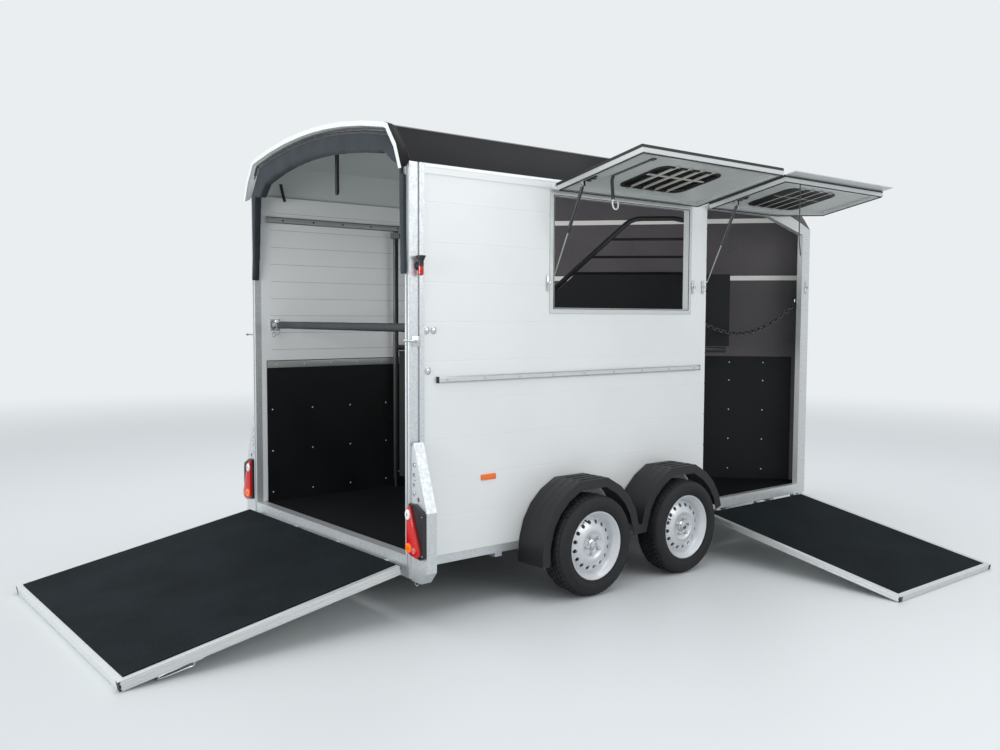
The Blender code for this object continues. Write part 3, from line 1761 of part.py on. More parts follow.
def make_jockey():
    x, y = jack_x, jack_y + 0.0
    fork_top = ground_z + 0.250
    tube_low, tube_high = -0.010, 0.420
    bore = jack_stem_radius + pin_gap
    profile = [
        (0.0, tube_high - 0.006),
        (bore, tube_high - 0.006),
        (bore, tube_low),
        (jack_tube_radius, tube_low),
        (jack_tube_radius, tube_high),
        (0.010, tube_high + 0.012),
        (0.0, tube_high + 0.012),
    ]
    tube = turned("jack_tube", list(reversed(profile)), 16, galvanised)
    tube.location = (x, y, 0)
    clamp = box(
        "jack_clamp", (x - 0.030, x + 0.030), (0.030, y - bore - 0.002), (draw_top + seat, draw_top + 0.040)
    )
    crank_path = [
        (x, y, tube_high),
        (x, y, tube_high + 0.04),
        (x - 0.10, y, tube_high + 0.05),
        (x - 0.10, y, tube_high + 0.13),
    ]
    join(tube, clamp, pipe("jack_crank", rounded(crank_path, 0.012), 0.007))
    stem = rod(
        "jack_stem", (x, y, fork_top), (x, y, tube_high - 0.080), jack_stem_radius, galvanised, sides=16
    )
    trail = 0.045
    wz = ground_z + jack_wheel_radius
    fork = rod("jack_fork", (x, y, fork_top - 0.030), (x, y, fork_top - seat), 0.030, galvanised, sides=16)
    plates = []
    for side in (1, -1):
        plates.append(prism(
            f"fork_plate_{side}",
            [
                (x + 0.026, fork_top - 0.02),
                (x - 0.026, fork_top - 0.02),
                (x - trail - 0.018, wz),
                (x - trail, wz - 0.018),
                (x - trail + 0.018, wz),
            ],
            "Y",
            tuple(sorted((y + side * 0.034, y + side * 0.038))),
        ))
    bridge = box(
        "fork_bridge", (x - 0.026, x + 0.026), (y - 0.038, y + 0.038), (fork_top - 0.024, fork_top - 0.018)
    )
    pin = rod("fork_pin", (x - trail, y - 0.044, wz), (x - trail, y + 0.044, wz), 0.008, sides=10)
    join(fork, *plates, bridge, pin)
    wheel_profile = [
        (0.0085, 0.026), (0.050, 0.022), (0.070, 0.028), (0.094, 0.028), (jack_wheel_radius, 0.016)
    ]
    wheel_profile = wheel_profile + [(r, -w) for r, w in reversed(wheel_profile)]
    wheel = turned("jack_wheel", wheel_profile, 24, rubber)
    wheel.rotation_euler = (math.radians(90), 0, 0)
    wheel.location = (x - trail, y, wz)


def make_chain():
    """The chain across the side door, hanging between the pillar and a bracket on the tack wall."""
    start = Vector((door_x[0] - 0.065, chain_y, 1.215))
    end = Vector((front_x - 0.060, chain_y, 1.330))
    points = [(start.x, -inner_y + seat, start.z)]
    steps = 24
    for i in range(steps + 1):
        t = i / steps
        point = start.lerp(end, t)
        point.z -= chain_sag * 4 * t * (1 - t)
        points.append(point)
    points.append((end.x, -inner_y + seat, end.z))
    return pipe("door_chain", points, 0.0075, black_paint, resolution=1)


chassis = make_chassis()
make_floor()
make_roof()
make_rim()
make_nose()
make_rear_frame()
make_walls()
make_rails()
make_window_frame()
make_door_frame()
make_tack_door()
make_tack_wall()
make_left_mat()
make_partition()
make_breeching_bar()
make_hood()
for hand, label in ((1, "left"), (-1, "right")):
    make_lamp_bracket(hand, label)
    make_tail_lamp(hand, label)
    make_marker_lamp(hand, label)
make_wheels()
make_axles()
make_mudguards()
rear_hinge, rear_beta, ramp_outer = make_rear_ramp()
make_side_ramp()
flap_hinges = [
    make_flap("flap_rear", flap_x[0], 0.0, None, flap_pane_x[0]),
    make_flap("flap_front", flap_x[1], flap_lip, (0.400, 0.110), flap_pane_x[1]),
]
make_drawbar()
make_coupling()
make_jockey()
make_chain()

spring_base = rear_hinge + Vector(spring_foot)
lug_local = Vector((ramp_outer - spring_below - rear_hinge.x, 0, spring_out))
lug_world = rear_hinge + Matrix.Rotation(-math.pi / 2 - rear_beta, 3, "Y") @ lug_local
gas_strut("ramp_spring", spring_base, (lug_world.x, spring_base.y, lug_world.z), 0.011, 0.005, 0.300, 0.215)
for word, flap_hinge, x in zip(("rear", "front"), flap_hinges, strut_x):
    pivot = on_flap(flap_hinge, strut_out, strut_below)
    gas_strut(
        f"flap_{word}_strut",
        (x, pivot.y, pivot.z),
        (x, strut_foot_y, strut_foot_z),
        0.010,
        0.004,
        0.275,
        0.277,
    )
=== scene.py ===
import math
import bmesh
import bpy
from mathutils import Matrix, Vector


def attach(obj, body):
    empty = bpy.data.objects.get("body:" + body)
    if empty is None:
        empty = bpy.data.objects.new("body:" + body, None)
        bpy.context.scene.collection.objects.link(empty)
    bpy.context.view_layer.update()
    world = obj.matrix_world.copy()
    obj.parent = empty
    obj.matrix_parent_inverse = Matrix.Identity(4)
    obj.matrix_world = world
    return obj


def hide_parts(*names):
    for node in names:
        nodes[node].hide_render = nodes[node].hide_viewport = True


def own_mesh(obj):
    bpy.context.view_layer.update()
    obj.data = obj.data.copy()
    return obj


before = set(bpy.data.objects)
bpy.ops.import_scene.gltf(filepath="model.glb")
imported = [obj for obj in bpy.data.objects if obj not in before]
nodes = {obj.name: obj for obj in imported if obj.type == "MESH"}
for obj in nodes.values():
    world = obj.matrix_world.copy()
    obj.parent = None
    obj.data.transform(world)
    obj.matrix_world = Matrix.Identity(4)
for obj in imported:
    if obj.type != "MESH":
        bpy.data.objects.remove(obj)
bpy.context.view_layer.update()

sides = (("left", 1), ("right", -1))
fine = {"merge": 0.00002, "nodeMerge": 0.00005, "sharp": 35, "nodeSharp": 32}  # metres and degrees
print("frame loaded:", len(nodes), "nodes")


# helpers for materials

def hexColour(code):
    channels = [int(code[i:i + 2], 16) / 255 for i in (1, 3, 5)]
    return tuple(c / 12.92 if c <= 0.04045 else ((c + 0.055) / 1.055) ** 2.4 for c in channels) + (1.0,)


def addNode(tree, kind, settings=None, links=None):
    made = tree.nodes.new(kind)
    for key, value in (settings or {}).items():
        if isinstance(key, int) or key in made.inputs:
            made.inputs[key].default_value = value
        else:
            setattr(made, key, value)
    for key, source in (links or {}).items():
        tree.links.new(source, made.inputs[key])
    return made


def spread(tree, source, low=0.3, high=0.7, start=0.0, end=1.0):
    # the useful middle of a pattern, drawn out to the values that it should give
    settings = {"From Min": low, "From Max": high, "To Min": start, "To Max": end}
    return addNode(tree, "ShaderNodeMapRange", settings, {"Value": source}).outputs["Result"]


def paint(tree, shader, share, first, second):
    colours = {"data_type": "RGBA", 6: hexColour(first), 7: hexColour(second)}
    mixed = addNode(tree, "ShaderNodeMix", colours, {0: share}).outputs[2]
    tree.links.new(mixed, shader.inputs["Base Color"])
    return mixed


def emboss(tree, shader, height, strength, depth):
    bump = addNode(tree, "ShaderNodeBump", {"Strength": strength, "Distance": depth}, {"Height": height})
    tree.links.new(bump.outputs["Normal"], shader.inputs["Normal"])


def makeFinish(name, slotName, colour, rough, metallic=0.0, drift=None, texture=None, along=None, second=None,
               tints=None, gloss=None, cloudGloss=None, bump=None, **more):
    # drift: two colours and the size of their clouds in metres; texture: its kind and settings, along: its stretch;
    # second: another texture crossed with it, as in a weave; tints: two colours that follow the texture;
    # gloss and cloudGloss: roughness from low to high of the texture or the clouds; bump: strength and depth
    made = bpy.data.materials.new(name)
    made.use_nodes = True
    tree = made.node_tree
    shader = tree.nodes["Principled BSDF"]
    for key, value in {"Base_Color": hexColour(colour), "Roughness": rough, "Metallic": metallic, **more}.items():
        shader.inputs[key.replace("_", " ")].default_value = value
    place = addNode(tree, "ShaderNodeTexCoord").outputs["Object"]
    height = clouds = None
    if drift:
        clouds = addNode(tree, "ShaderNodeTexNoise", {"Scale": 1 / drift[2], "Detail": 4.0, "Roughness": 0.55},
                         {"Vector": place}).outputs["Fac"]
        paint(tree, shader, spread(tree, clouds, 0.35, 0.75), *drift[:2])
        height = clouds
    if along:
        place = addNode(tree, "ShaderNodeMapping", {"Scale": along}, {"Vector": place}).outputs["Vector"]
    if texture:
        kind, settings = texture
        pattern = addNode(tree, "ShaderNodeTex" + kind, settings, {"Vector": place})
        height = pattern.outputs["Distance" if kind == "Voronoi" else "Fac"]
        tone = height
        if kind == "Voronoi" and tints:
            cells = addNode(tree, "ShaderNodeSeparateColor", None, {"Color": pattern.outputs["Color"]})
            tone = cells.outputs["Red"]
        if tints:
            paint(tree, shader, tone if kind == "Voronoi" else spread(tree, tone), *tints)
        if gloss:
            reach = (0.0, 1.0) if kind == "Voronoi" else (0.3, 0.7)
            tree.links.new(spread(tree, tone, *reach, *gloss), shader.inputs["Roughness"])
    if second:
        kind, settings, how = second
        other = addNode(tree, "ShaderNodeTex" + kind, settings, {"Vector": place}).outputs["Fac"]
        height = addNode(tree, "ShaderNodeMath", {"operation": how}, {0: height, 1: other}).outputs[0]
    if cloudGloss:
        tree.links.new(spread(tree, clouds, 0.3, 0.7, *cloudGloss), shader.inputs["Roughness"])
    if bump:
        emboss(tree, shader, height, *bump)
    return made


def partsOf(finish):
    tree = finish.node_tree
    return tree, tree.nodes["Principled BSDF"], tree.nodes["Texture Coordinate"].outputs["Object"]


# helpers for meshes, all with bmesh operators

def block(bm, x, y, z, edge=0.0, segments=2, turn=None):
    # x, y and z are ranges, in either order
    made = bmesh.ops.create_cube(bm, size=1.0)["verts"]
    low, high = (Vector([pick(one) for one in (x, y, z)]) for pick in (min, max))
    bmesh.ops.scale(bm, vec=high - low, verts=made)
    bmesh.ops.translate(bm, vec=(low + high) / 2, verts=made)
    if turn:
        bmesh.ops.transform(bm, matrix=turn, verts=made)
    if edge:
        edges = list({e for v in made for e in v.link_edges})
        bmesh.ops.bevel(bm, geom=edges, offset=edge, segments=segments, affect="EDGES", profile=0.5, material=-1)


def stick(bm, start, end, radius, far=None, count=20, edge=0.0):
    start, end = Vector(start), Vector(end)
    place = Matrix.Translation((start + end) / 2) @ (end - start).to_track_quat("Z", "Y").to_matrix().to_4x4()
    made = bmesh.ops.create_cone(bm, cap_ends=True, segments=count, radius1=radius, radius2=far or radius,
                                 depth=(end - start).length, matrix=place)["verts"]
    if edge:
        rims = list({e for v in made for e in v.link_edges if any(len(f.verts) == count for f in e.link_faces)})
        bmesh.ops.bevel(bm, geom=rims, offset=edge, segments=2, affect="EDGES", profile=0.5, material=-1)


def dome(bm, centre, out, radius, height):
    # a rounded head of a rivet or bolt, standing on its flat side
    made = bmesh.ops.create_uvsphere(bm, u_segments=12, v_segments=8, radius=radius)["verts"]
    around = list({f for v in made for f in v.link_faces} | {e for v in made for e in v.link_edges})
    cut = bmesh.ops.bisect_plane(bm, geom=made + around, plane_co=(0, 0, 0), plane_no=(0, 0, 1), clear_inner=True)
    kept = [g for g in cut["geom"] if isinstance(g, bmesh.types.BMVert)]
    bmesh.ops.edgeloop_fill(bm, edges=[g for g in cut["geom_cut"] if isinstance(g, bmesh.types.BMEdge)])
    turn = Vector(out).normalized().to_track_quat("Z", "Y").to_matrix().to_4x4()
    place = Matrix.Translation(centre) @ turn @ Matrix.Scale(height / radius, 4, (0, 0, 1))
    bmesh.ops.transform(bm, matrix=place, verts=[v for v in kept if v.is_valid])


def turned(bm, profile, centre, axis, steps=32):
    # profile is (radius, distance along the axis) from end to end
    centre, axis = Vector(centre), Vector(axis).normalized()
    side = axis.orthogonal().normalized()
    made = [bm.verts.new(centre + side * r + axis * a) for r, a in profile]
    edges = [bm.edges.new((a, b)) for a, b in zip(made, made[1:])]
    bmesh.ops.spin(bm, geom=made + edges, cent=centre, axis=axis, dvec=(0, 0, 0), angle=2 * math.pi, steps=steps,
                   use_merge=True, use_normal_flip=False, use_duplicate=False)


def closedLoop(bm, points):
    made = [bm.verts.new(p) for p in points]
    return [bm.edges.new((a, b)) for a, b in zip(made, made[1:] + made[:1])]


def loft(bm, rings, cyclic=False):
    # closed rings of as many points each, joined in turn
    loops = [closedLoop(bm, ring) for ring in rings]
    for first, second in list(zip(loops, loops[1:])) + ([(loops[-1], loops[0])] if cyclic else []):
        bmesh.ops.bridge_loops(bm, edges=first + second)
    if not cyclic:
        for loop in (loops[0], loops[-1]):
            bmesh.ops.edgeloop_fill(bm, edges=loop)


def hose(bm, points, radius, fine=2, cyclic=False):
    # a round bar or cord along points
    line = bpy.data.curves.new("line", "CURVE")
    line.dimensions = "3D"
    line.bevel_depth = radius
    line.bevel_resolution = fine
    line.use_fill_caps = not cyclic
    spline = line.splines.new("POLY")
    spline.points.add(len(points) - 1)
    for point, place in zip(spline.points, points):
        point.co = (*place, 1.0)
    spline.use_cyclic_u = cyclic
    holder = bpy.data.objects.new("line", line)
    tube = bpy.data.meshes.new_from_object(holder)
    bm.from_mesh(tube)
    bpy.data.objects.remove(holder)
    bpy.data.curves.remove(line)
    bpy.data.meshes.remove(tube)


def circle(centre, across, upward, count=24):
    turns = [2 * math.pi * k / count for k in range(count)]
    return [Vector(centre) + Vector(across) * math.cos(t) + Vector(upward) * math.sin(t) for t in turns]


def smoothLine(points, steps=6):
    # Catmull-Rom points through the given ones
    points = [Vector(p) for p in points]
    line = []
    for i in range(len(points) - 1):
        a, b, c, d = points[max(i - 1, 0)], points[i], points[i + 1], points[min(i + 2, len(points) - 1)]
        for t in (k / steps for k in range(steps)):
            curve = 2 * b + (c - a) * t + (2 * a - 5 * b + 4 * c - d) * t * t + (3 * b - a - 3 * c + d) * t ** 3
            line.append(0.5 * curve)
    return line + [points[-1]]


def strap(bm, points, across, width, thick):
    # flat webbing along points, with its width along across
    across = Vector(across).normalized() * width / 2
    rings = []
    for i, point in enumerate(points):
        ahead = (points[min(i + 1, len(points) - 1)] - points[max(i - 1, 0)]).normalized()
        out = ahead.cross(across).normalized() * thick / 2
        rings.append([point - across - out, point + across - out, point + across + out, point - across + out])
    loft(bm, rings)


def roundedLoop(x, z, radius, depth, steps=6):
    corners = [(x[k] + (radius if k == 0 else -radius), z[j] + (radius if j == 0 else -radius))
               for k, j in ((1, 1), (0, 1), (0, 0), (1, 0))]
    turns = [[math.pi / 2 * (quarter + k / steps) for k in range(steps + 1)] for quarter in range(4)]
    return [Vector((cx + radius * math.cos(t), depth, cz + radius * math.sin(t)))
            for (cx, cz), quarter in zip(corners, turns) for t in quarter]


def about(pivot, axis, angle):
    pivot = Vector(pivot)
    return Matrix.Translation(pivot) @ Matrix.Rotation(angle, 4, axis) @ Matrix.Translation(-pivot)


def strike(name, start, direction):
    # the place and normal where a ray meets a CAD node
    hit, place, normal, index = nodes[name].ray_cast(Vector(start), Vector(direction))
    return (place, normal) if hit else (None, None)


def newObject(name, bm, finish=None):
    data = bpy.data.meshes.new(name)
    bm.to_mesh(data)
    bm.free()
    if finish:
        data.materials.append(finish)
    made = bpy.data.objects.new(name, data)
    bpy.context.scene.collection.objects.link(made)
    return made


def makePiece(name, bm, finish, *standsFor, body="trailer", slotName=None, turn=None):
    if turn:
        bmesh.ops.transform(bm, matrix=turn, verts=bm.verts)
    bmesh.ops.remove_doubles(bm, verts=bm.verts, dist=fine["merge"])
    bmesh.ops.recalc_face_normals(bm, faces=bm.faces)
    made = newObject(name, bm, finish)
    made.data.shade_smooth()
    made.data.set_sharp_from_angle(angle=math.radians(fine["sharp"]))
    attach(made, body)
    if standsFor:
        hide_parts(*standsFor)
    return made


def applyModifiers(piece):
    bpy.context.view_layer.update()
    fresh = bpy.data.meshes.new_from_object(piece.evaluated_get(bpy.context.evaluated_depsgraph_get()))
    piece.modifiers.clear()
    piece.data = fresh


# finishes

def makeDarkShell(name, paleInside):
    # glass fibre polyester with a black gel coat: gloss with slow waves from the mould, pale inside the roof
    made = makeFinish(name, "moulded_polyester_dark", "#131315", 0.22, drift=("#121214", "#19191c", 0.6),
                      bump=(0.05, 0.004), Specular_IOR_Level=0.06)
    if paleInside:
        tree, shader, place = partsOf(made)
        vectorMath = "ShaderNodeVectorMath"
        facing = addNode(tree, "ShaderNodeTexCoord").outputs["Normal"]
        fromAxis = addNode(tree, vectorMath, {"operation": "SUBTRACT", 1: (0, 0, 1.95)}, {0: place})
        radial = addNode(tree, vectorMath, {"operation": "MULTIPLY", 1: (0, 1, 1)}, {0: fromAxis.outputs[0]})
        unit = addNode(tree, vectorMath, {"operation": "NORMALIZE"}, {0: radial.outputs[0]})
        outward = addNode(tree, vectorMath, {"operation": "DOT_PRODUCT"}, {0: facing, 1: unit.outputs[0]})
        isInside = addNode(tree, "ShaderNodeMath", {"operation": "LESS_THAN", 1: 0.30}, {0: outward.outputs["Value"]})
        dark = shader.inputs["Base Color"].links[0].from_socket
        both = addNode(tree, "ShaderNodeMix", {"data_type": "RGBA", 7: hexColour("#c8cccb")},
                       {0: isInside.outputs[0], 6: dark})
        tree.links.new(both.outputs[2], shader.inputs["Base Color"])
        tree.links.new(spread(tree, isInside.outputs[0], 0.0, 1.0, 0.22, 0.42), shader.inputs["Roughness"])
    return made


def makeGranulate(name, base, fleck, grain, rough, depth):
    # rubber granulate pressed into a mat: crumbs of the given size in metres
    made = makeFinish(name, "black_rubber", base, rough, Specular_IOR_Level=0.12)
    tree, shader, place = partsOf(made)
    crumbs = addNode(tree, "ShaderNodeTexVoronoi", {"Scale": 1 / grain}, {"Vector": place})
    cloud = addNode(tree, "ShaderNodeTexNoise", {"Scale": 3.0, "Detail": 4.0}, {"Vector": place})
    small = addNode(tree, "ShaderNodeTexNoise", {"Scale": 0.5 / grain, "Detail": 3.0, "Roughness": 0.7},
                    {"Vector": place})
    share = addNode(tree, "ShaderNodeMath", {"operation": "MULTIPLY", 1: 0.6}, {0: small.outputs["Fac"]})
    total = addNode(tree, "ShaderNodeMath", {"operation": "MULTIPLY_ADD", 1: 0.5},
                    {0: cloud.outputs["Fac"], 2: share.outputs[0]})
    paint(tree, shader, spread(tree, total.outputs[0], 0.40, 0.68), base, fleck)
    emboss(tree, shader, crumbs.outputs["Distance"], 0.5, depth)
    return made


liningLines = {"levels": (1.926, 1.503), "width": 0.034, "colour": "#f0eeea"}


def makeLiningBoard():
    # charcoal faced plywood lining, matt, with two pale guide lines and a fine grain along the board
    made = makeFinish("charcoalLiningBoard", "charcoal_lining", "#3a3638", 0.62)
    tree, shader, place = partsOf(made)
    fibres = addNode(tree, "ShaderNodeMapping", {"Scale": (60, 60, 500)}, {"Vector": place}).outputs["Vector"]
    grain = addNode(tree, "ShaderNodeTexNoise", {"Scale": 1.0, "Detail": 4.0}, {"Vector": fibres}).outputs["Fac"]
    cloud = addNode(tree, "ShaderNodeTexNoise", {"Scale": 2.2, "Detail": 3.0}, {"Vector": place}).outputs["Fac"]
    share = addNode(tree, "ShaderNodeMath", {"operation": "MULTIPLY"}, {0: grain, 1: cloud}).outputs[0]
    board = paint(tree, shader, spread(tree, share, 0.15, 0.40), "#565154", "#464245")
    height = addNode(tree, "ShaderNodeSeparateXYZ", None, {"Vector": place}).outputs["Z"]
    lines = []
    for level in liningLines["levels"]:
        away = addNode(tree, "ShaderNodeMath", {"operation": "SUBTRACT", 1: level}, {0: height})
        size = addNode(tree, "ShaderNodeMath", {"operation": "ABSOLUTE"}, {0: away.outputs[0]})
        line = {"operation": "LESS_THAN", 1: liningLines["width"] / 2}
        lines.append(addNode(tree, "ShaderNodeMath", line, {0: size.outputs[0]}).outputs[0])
    both = addNode(tree, "ShaderNodeMath", {"operation": "MAXIMUM"}, {0: lines[0], 1: lines[1]})
    blend = addNode(tree, "ShaderNodeMix", {"data_type": "RGBA", 7: hexColour(liningLines["colour"])},
                    {0: both.outputs[0], 6: board})
    tree.links.new(blend.outputs[2], shader.inputs["Base Color"])
    emboss(tree, shader, grain, 0.12, 0.0005)
    return made


def makeGalvanised():
    # hot dip galvanised steel: 8 mm zinc spangles that differ a little in grey and gloss, slightly wavy
    made = makeFinish("hotDipGalvanisedSteel", "galvanised_steel", "#c6cacd", 0.40, 0.70,
                      texture=("Voronoi", {"Scale": 125}), tints=("#d0d4d6", "#c2c6c9"), gloss=(0.34, 0.46))
    tree, shader, place = partsOf(made)
    waves = addNode(tree, "ShaderNodeTexNoise", {"Scale": 9.0, "Detail": 3.0}, {"Vector": place})
    emboss(tree, shader, waves.outputs["Fac"], 0.05, 0.001)
    return made


def makeMoulded(name, slotName, base, second, rough, grain=0.0016, depth=0.0004):
    # moulded plastic or rubber: slight tone drift and a fine grain of the given size in metres
    return makeFinish(name, slotName, base, rough, drift=(base, second, 0.12), bump=(0.15, depth),
                      texture=("Noise", {"Scale": 1 / grain, "Detail": 2}), gloss=(rough - 0.05, rough + 0.05))


def makeRolledMetal(name, slotName, base, second, rough, metallic):
    # rolled or extruded metal: fine lines along the trailer
    return makeFinish(name, slotName, base, rough, metallic, along=(6, 320, 320), tints=(base, second),
                      texture=("Noise", {"Scale": 1, "Detail": 3}), gloss=(rough - 0.06, rough + 0.08),
                      bump=(0.08, 0.0003))


def makeLens(name, colour):
    # moulded acrylic lamp lens: glossy, with optic ribs inside
    return makeFinish(name, "red_lens", colour, 0.08, bump=(0.25, 0.001), Coat_Weight=0.25, Coat_Roughness=0.05,
                      texture=("Wave", {"Scale": 26, "bands_direction": "Z"}))


# extruded aluminium planks with a silver-white coat: faint drawn lines along the plank, low sheen
coatedPlank = makeFinish("silverCoatedPlank", "coated_plank", "#e4e6e6", 0.36, 0.05, drift=("#e6e8e8", "#dfe1e1", 0.9),
                         texture=("Noise", {"Scale": 1, "Detail": 3}), along=(3, 3, 350), gloss=(0.30, 0.42),
                         bump=(0.12, 0.0004), Coat_Weight=0.15, Coat_Roughness=0.25)
galvanised = makeGalvanised()
# extruded aluminium, mill finish: die lines along the profile
millAluminium = makeFinish("millFinishAluminium", "extruded_aluminium", "#ced1d1", 0.34, 0.55, along=(8, 300, 300),
                           texture=("Noise", {"Scale": 1, "Detail": 4}), tints=("#d4d7d6", "#c3c6c6"),
                           gloss=(0.26, 0.42), bump=(0.10, 0.0003))
# moulded black rubber sheet, satin, with 6 mm hammered dimples
kickMat = makeFinish("hammeredKickMat", "black_rubber", "#090a0c", 0.55, drift=("#08090b", "#101215", 0.4),
                     texture=("Voronoi", {"Scale": 160, "feature": "SMOOTH_F1", "Smoothness": 0.6}),
                     cloudGloss=(0.42, 0.62), bump=(0.35, 0.002), Specular_IOR_Level=0.25)
# moulded polyethylene with a fine leather grain of about 2 mm
blackPlastic = makeFinish("grainedPolyethylene", "black_plastic", "#0e1012", 0.46, drift=("#0e1012", "#151719", 0.25),
                          texture=("Voronoi", {"Scale": 420}), cloudGloss=(0.40, 0.54), bump=(0.25, 0.0008))
# black polyester powder coat on steel: satin with fine orange peel of about 3 mm
powderCoat = makeFinish("blackPowderCoat", "black_powder_coat", "#111214", 0.30, drift=("#101113", "#191b1d", 0.15),
                        texture=("Noise", {"Scale": 330, "Detail": 2}), bump=(0.10, 0.0006),
                        Coat_Weight=0.2, Coat_Roughness=0.2)
# silver wheel lacquer: fine metal flake under clear coat
wheelPaint = makeFinish("silverWheelLacquer", "silver_wheel_paint", "#d3d6d9", 0.30, 0.40,
                        texture=("Voronoi", {"Scale": 900}), tints=("#d8dbde", "#c6c9cd"),
                        Coat_Weight=0.4, Coat_Roughness=0.12)
# vulcanised tyre rubber: near black, dusty bloom, fine moulding texture
tyreRubber = makeFinish("tyreRubber", "tyre_rubber", "#17171a", 0.72, drift=("#151518", "#232326", 0.05),
                        texture=("Noise", {"Scale": 600, "Detail": 2}), cloudGloss=(0.62, 0.82),
                        bump=(0.25, 0.0005), Specular_IOR_Level=0.4)
# smoked acrylic window, cast and polished
acrylicPane = makeFinish("smokedAcrylic", "acrylic_pane", "#4b4e50", 0.04, gloss=(0.03, 0.09),
                         texture=("Noise", {"Scale": 4, "Detail": 2}), IOR=1.49, Alpha=0.82)
# zinc plated, polished steel rod and pins
brightSteel = makeFinish("brightZincSteel", "bright_steel", "#c9cbcd", 0.16, 1.0, gloss=(0.12, 0.26),
                         texture=("Noise", {"Scale": 60, "Detail": 3}))
# coated polyester cloth: a plain weave, drawn coarse so that it shows
hoodCloth = makeFinish("coatedPolyesterCloth", "hood_fabric", "#2f353a", 0.80, drift=("#31373c", "#272c30", 0.12),
                       texture=("Wave", {"Scale": 100, "bands_direction": "Y"}),
                       second=("Wave", {"Scale": 100, "bands_direction": "Z"}, "MULTIPLY"), bump=(0.3, 0.0008),
                       Specular_IOR_Level=0.2, Sheen_Weight=0.06, Sheen_Roughness=0.5)
# woven polypropylene webbing, black: ribs across, dull sheen
webbing = makeFinish("blackWebbing", "hood_fabric", "#1b1c1f", 0.72, drift=("#191a1d", "#25272b", 0.05),
                     texture=("Wave", {"Scale": 64, "bands_direction": "X"}),
                     second=("Wave", {"Scale": 64, "bands_direction": "Z"}, "MAXIMUM"), bump=(0.35, 0.0007),
                     Sheen_Weight=0.25, Sheen_Roughness=0.5)
darkShell = makeDarkShell("blackGelCoatPolyester", False)
roofShell = makeDarkShell("blackAndPaleGelCoat", True)
floorRubber = makeGranulate("granulateFloor", "#08090b", "#111316", 0.004, 0.90, 0.0012)
rampRubber = makeGranulate("granulateRampMat", "#090e10", "#141d21", 0.005, 0.88, 0.0016)
liningBoard = makeLiningBoard()
redLens, clearLens = makeLens("redAcrylicLens", "#b30d10"), makeLens("clearAcrylicLens", "#d5d6d8")
amberLens, roseLens = makeLens("amberAcrylicLens", "#f2700c"), makeLens("roseAcrylicLens", "#c46a6a")
lampHousing = makeMoulded("blackAbsHousing", "red_lens", "#141517", "#1b1c1f", 0.34)
softRubber = makeMoulded("softBlackRubber", "black_rubber", "#131416", "#1c1d20", 0.60)
padSleeve = makeMoulded("blackPvcPadSleeve", "black_rubber", "#1d1f23", "#272a2f", 0.48, 0.004, 0.0006)
whitePlastic = makeMoulded("whiteNylon", "bright_steel", "#dcdddb", "#cfd0ce", 0.40)
panelSkin = makeMoulded("paleSandwichSkin", "coated_plank", "#c2c6c2", "#b8bdb9", 0.42, 0.006)
paleCoat = makeMoulded("palePowderCoat", "extruded_aluminium", "#b0ada7", "#a5a29d", 0.36)
jointSeal = makeMoulded("greyJointSeal", "coated_plank", "#a9adab", "#9da19f", 0.60)
tieSteel = makeRolledMetal("zincPlatedRail", "extruded_aluminium", "#a3a7a4", "#8f9390", 0.40, 0.55)
brightTrim = makeRolledMetal("anodisedTrim", "extruded_aluminium", "#dfe2e4", "#d0d4d6", 0.34, 0.45)
print("materials made")

nodeFinishes = (
    (coatedPlank, "left_wall right_wall tack_door"),
    (galvanised, "chassis drawbar axle_front axle_rear rear_frame lamp_bracket_left lamp_bracket_right"),
    (galvanised, "jack_tube jack_stem jack_fork"),
    (millAluminium, "window_frame door_frame rear_ramp side_ramp flap_rear flap_front rub_rail_left rub_rail_right"),
    (roofShell, "roof roof_rim"),
    (darkShell, "nose"),
    (floorRubber, "floor"),
    (rampRubber, "rear_ramp_mat side_ramp_mat"),
    (kickMat, "kick_mat_left kick_mat_tack partition_panel breeching_bar"),
    (tyreRubber, "tyre_front_left tyre_front_right tyre_rear_left tyre_rear_right jack_wheel"),
    (wheelPaint, "rim_front_left rim_front_right rim_rear_left rim_rear_right"),
    (powderCoat, "partition_frame coupling door_chain ramp_spring_cylinder"),
    (powderCoat, "flap_rear_strut_cylinder flap_front_strut_cylinder"),
    (tieSteel, "flap_rear_strut_rod flap_front_strut_rod ramp_spring_rod"),
    (blackPlastic, "mudguard_left mudguard_right"),
    (liningBoard, "tack_wall"),
    (hoodCloth, "hood"),
    (redLens, "tail_lamp_left tail_lamp_right marker_lamp_left marker_lamp_right"),
    (acrylicPane, "flap_rear_window flap_front_window"),
)
for finish, names in nodeFinishes:
    for name in names.split():
        for slot in nodes[name].material_slots:
            slot.material = finish
print("node finishes set")

roundedNodes = """roof nose roof_rim mudguard_left mudguard_right coupling jack_tube jack_stem jack_wheel jack_fork
    drawbar axle_front axle_rear partition_frame flap_rear_strut_cylinder flap_front_strut_cylinder
    ramp_spring_cylinder flap_rear_strut_rod flap_front_strut_rod ramp_spring_rod rear_ramp"""


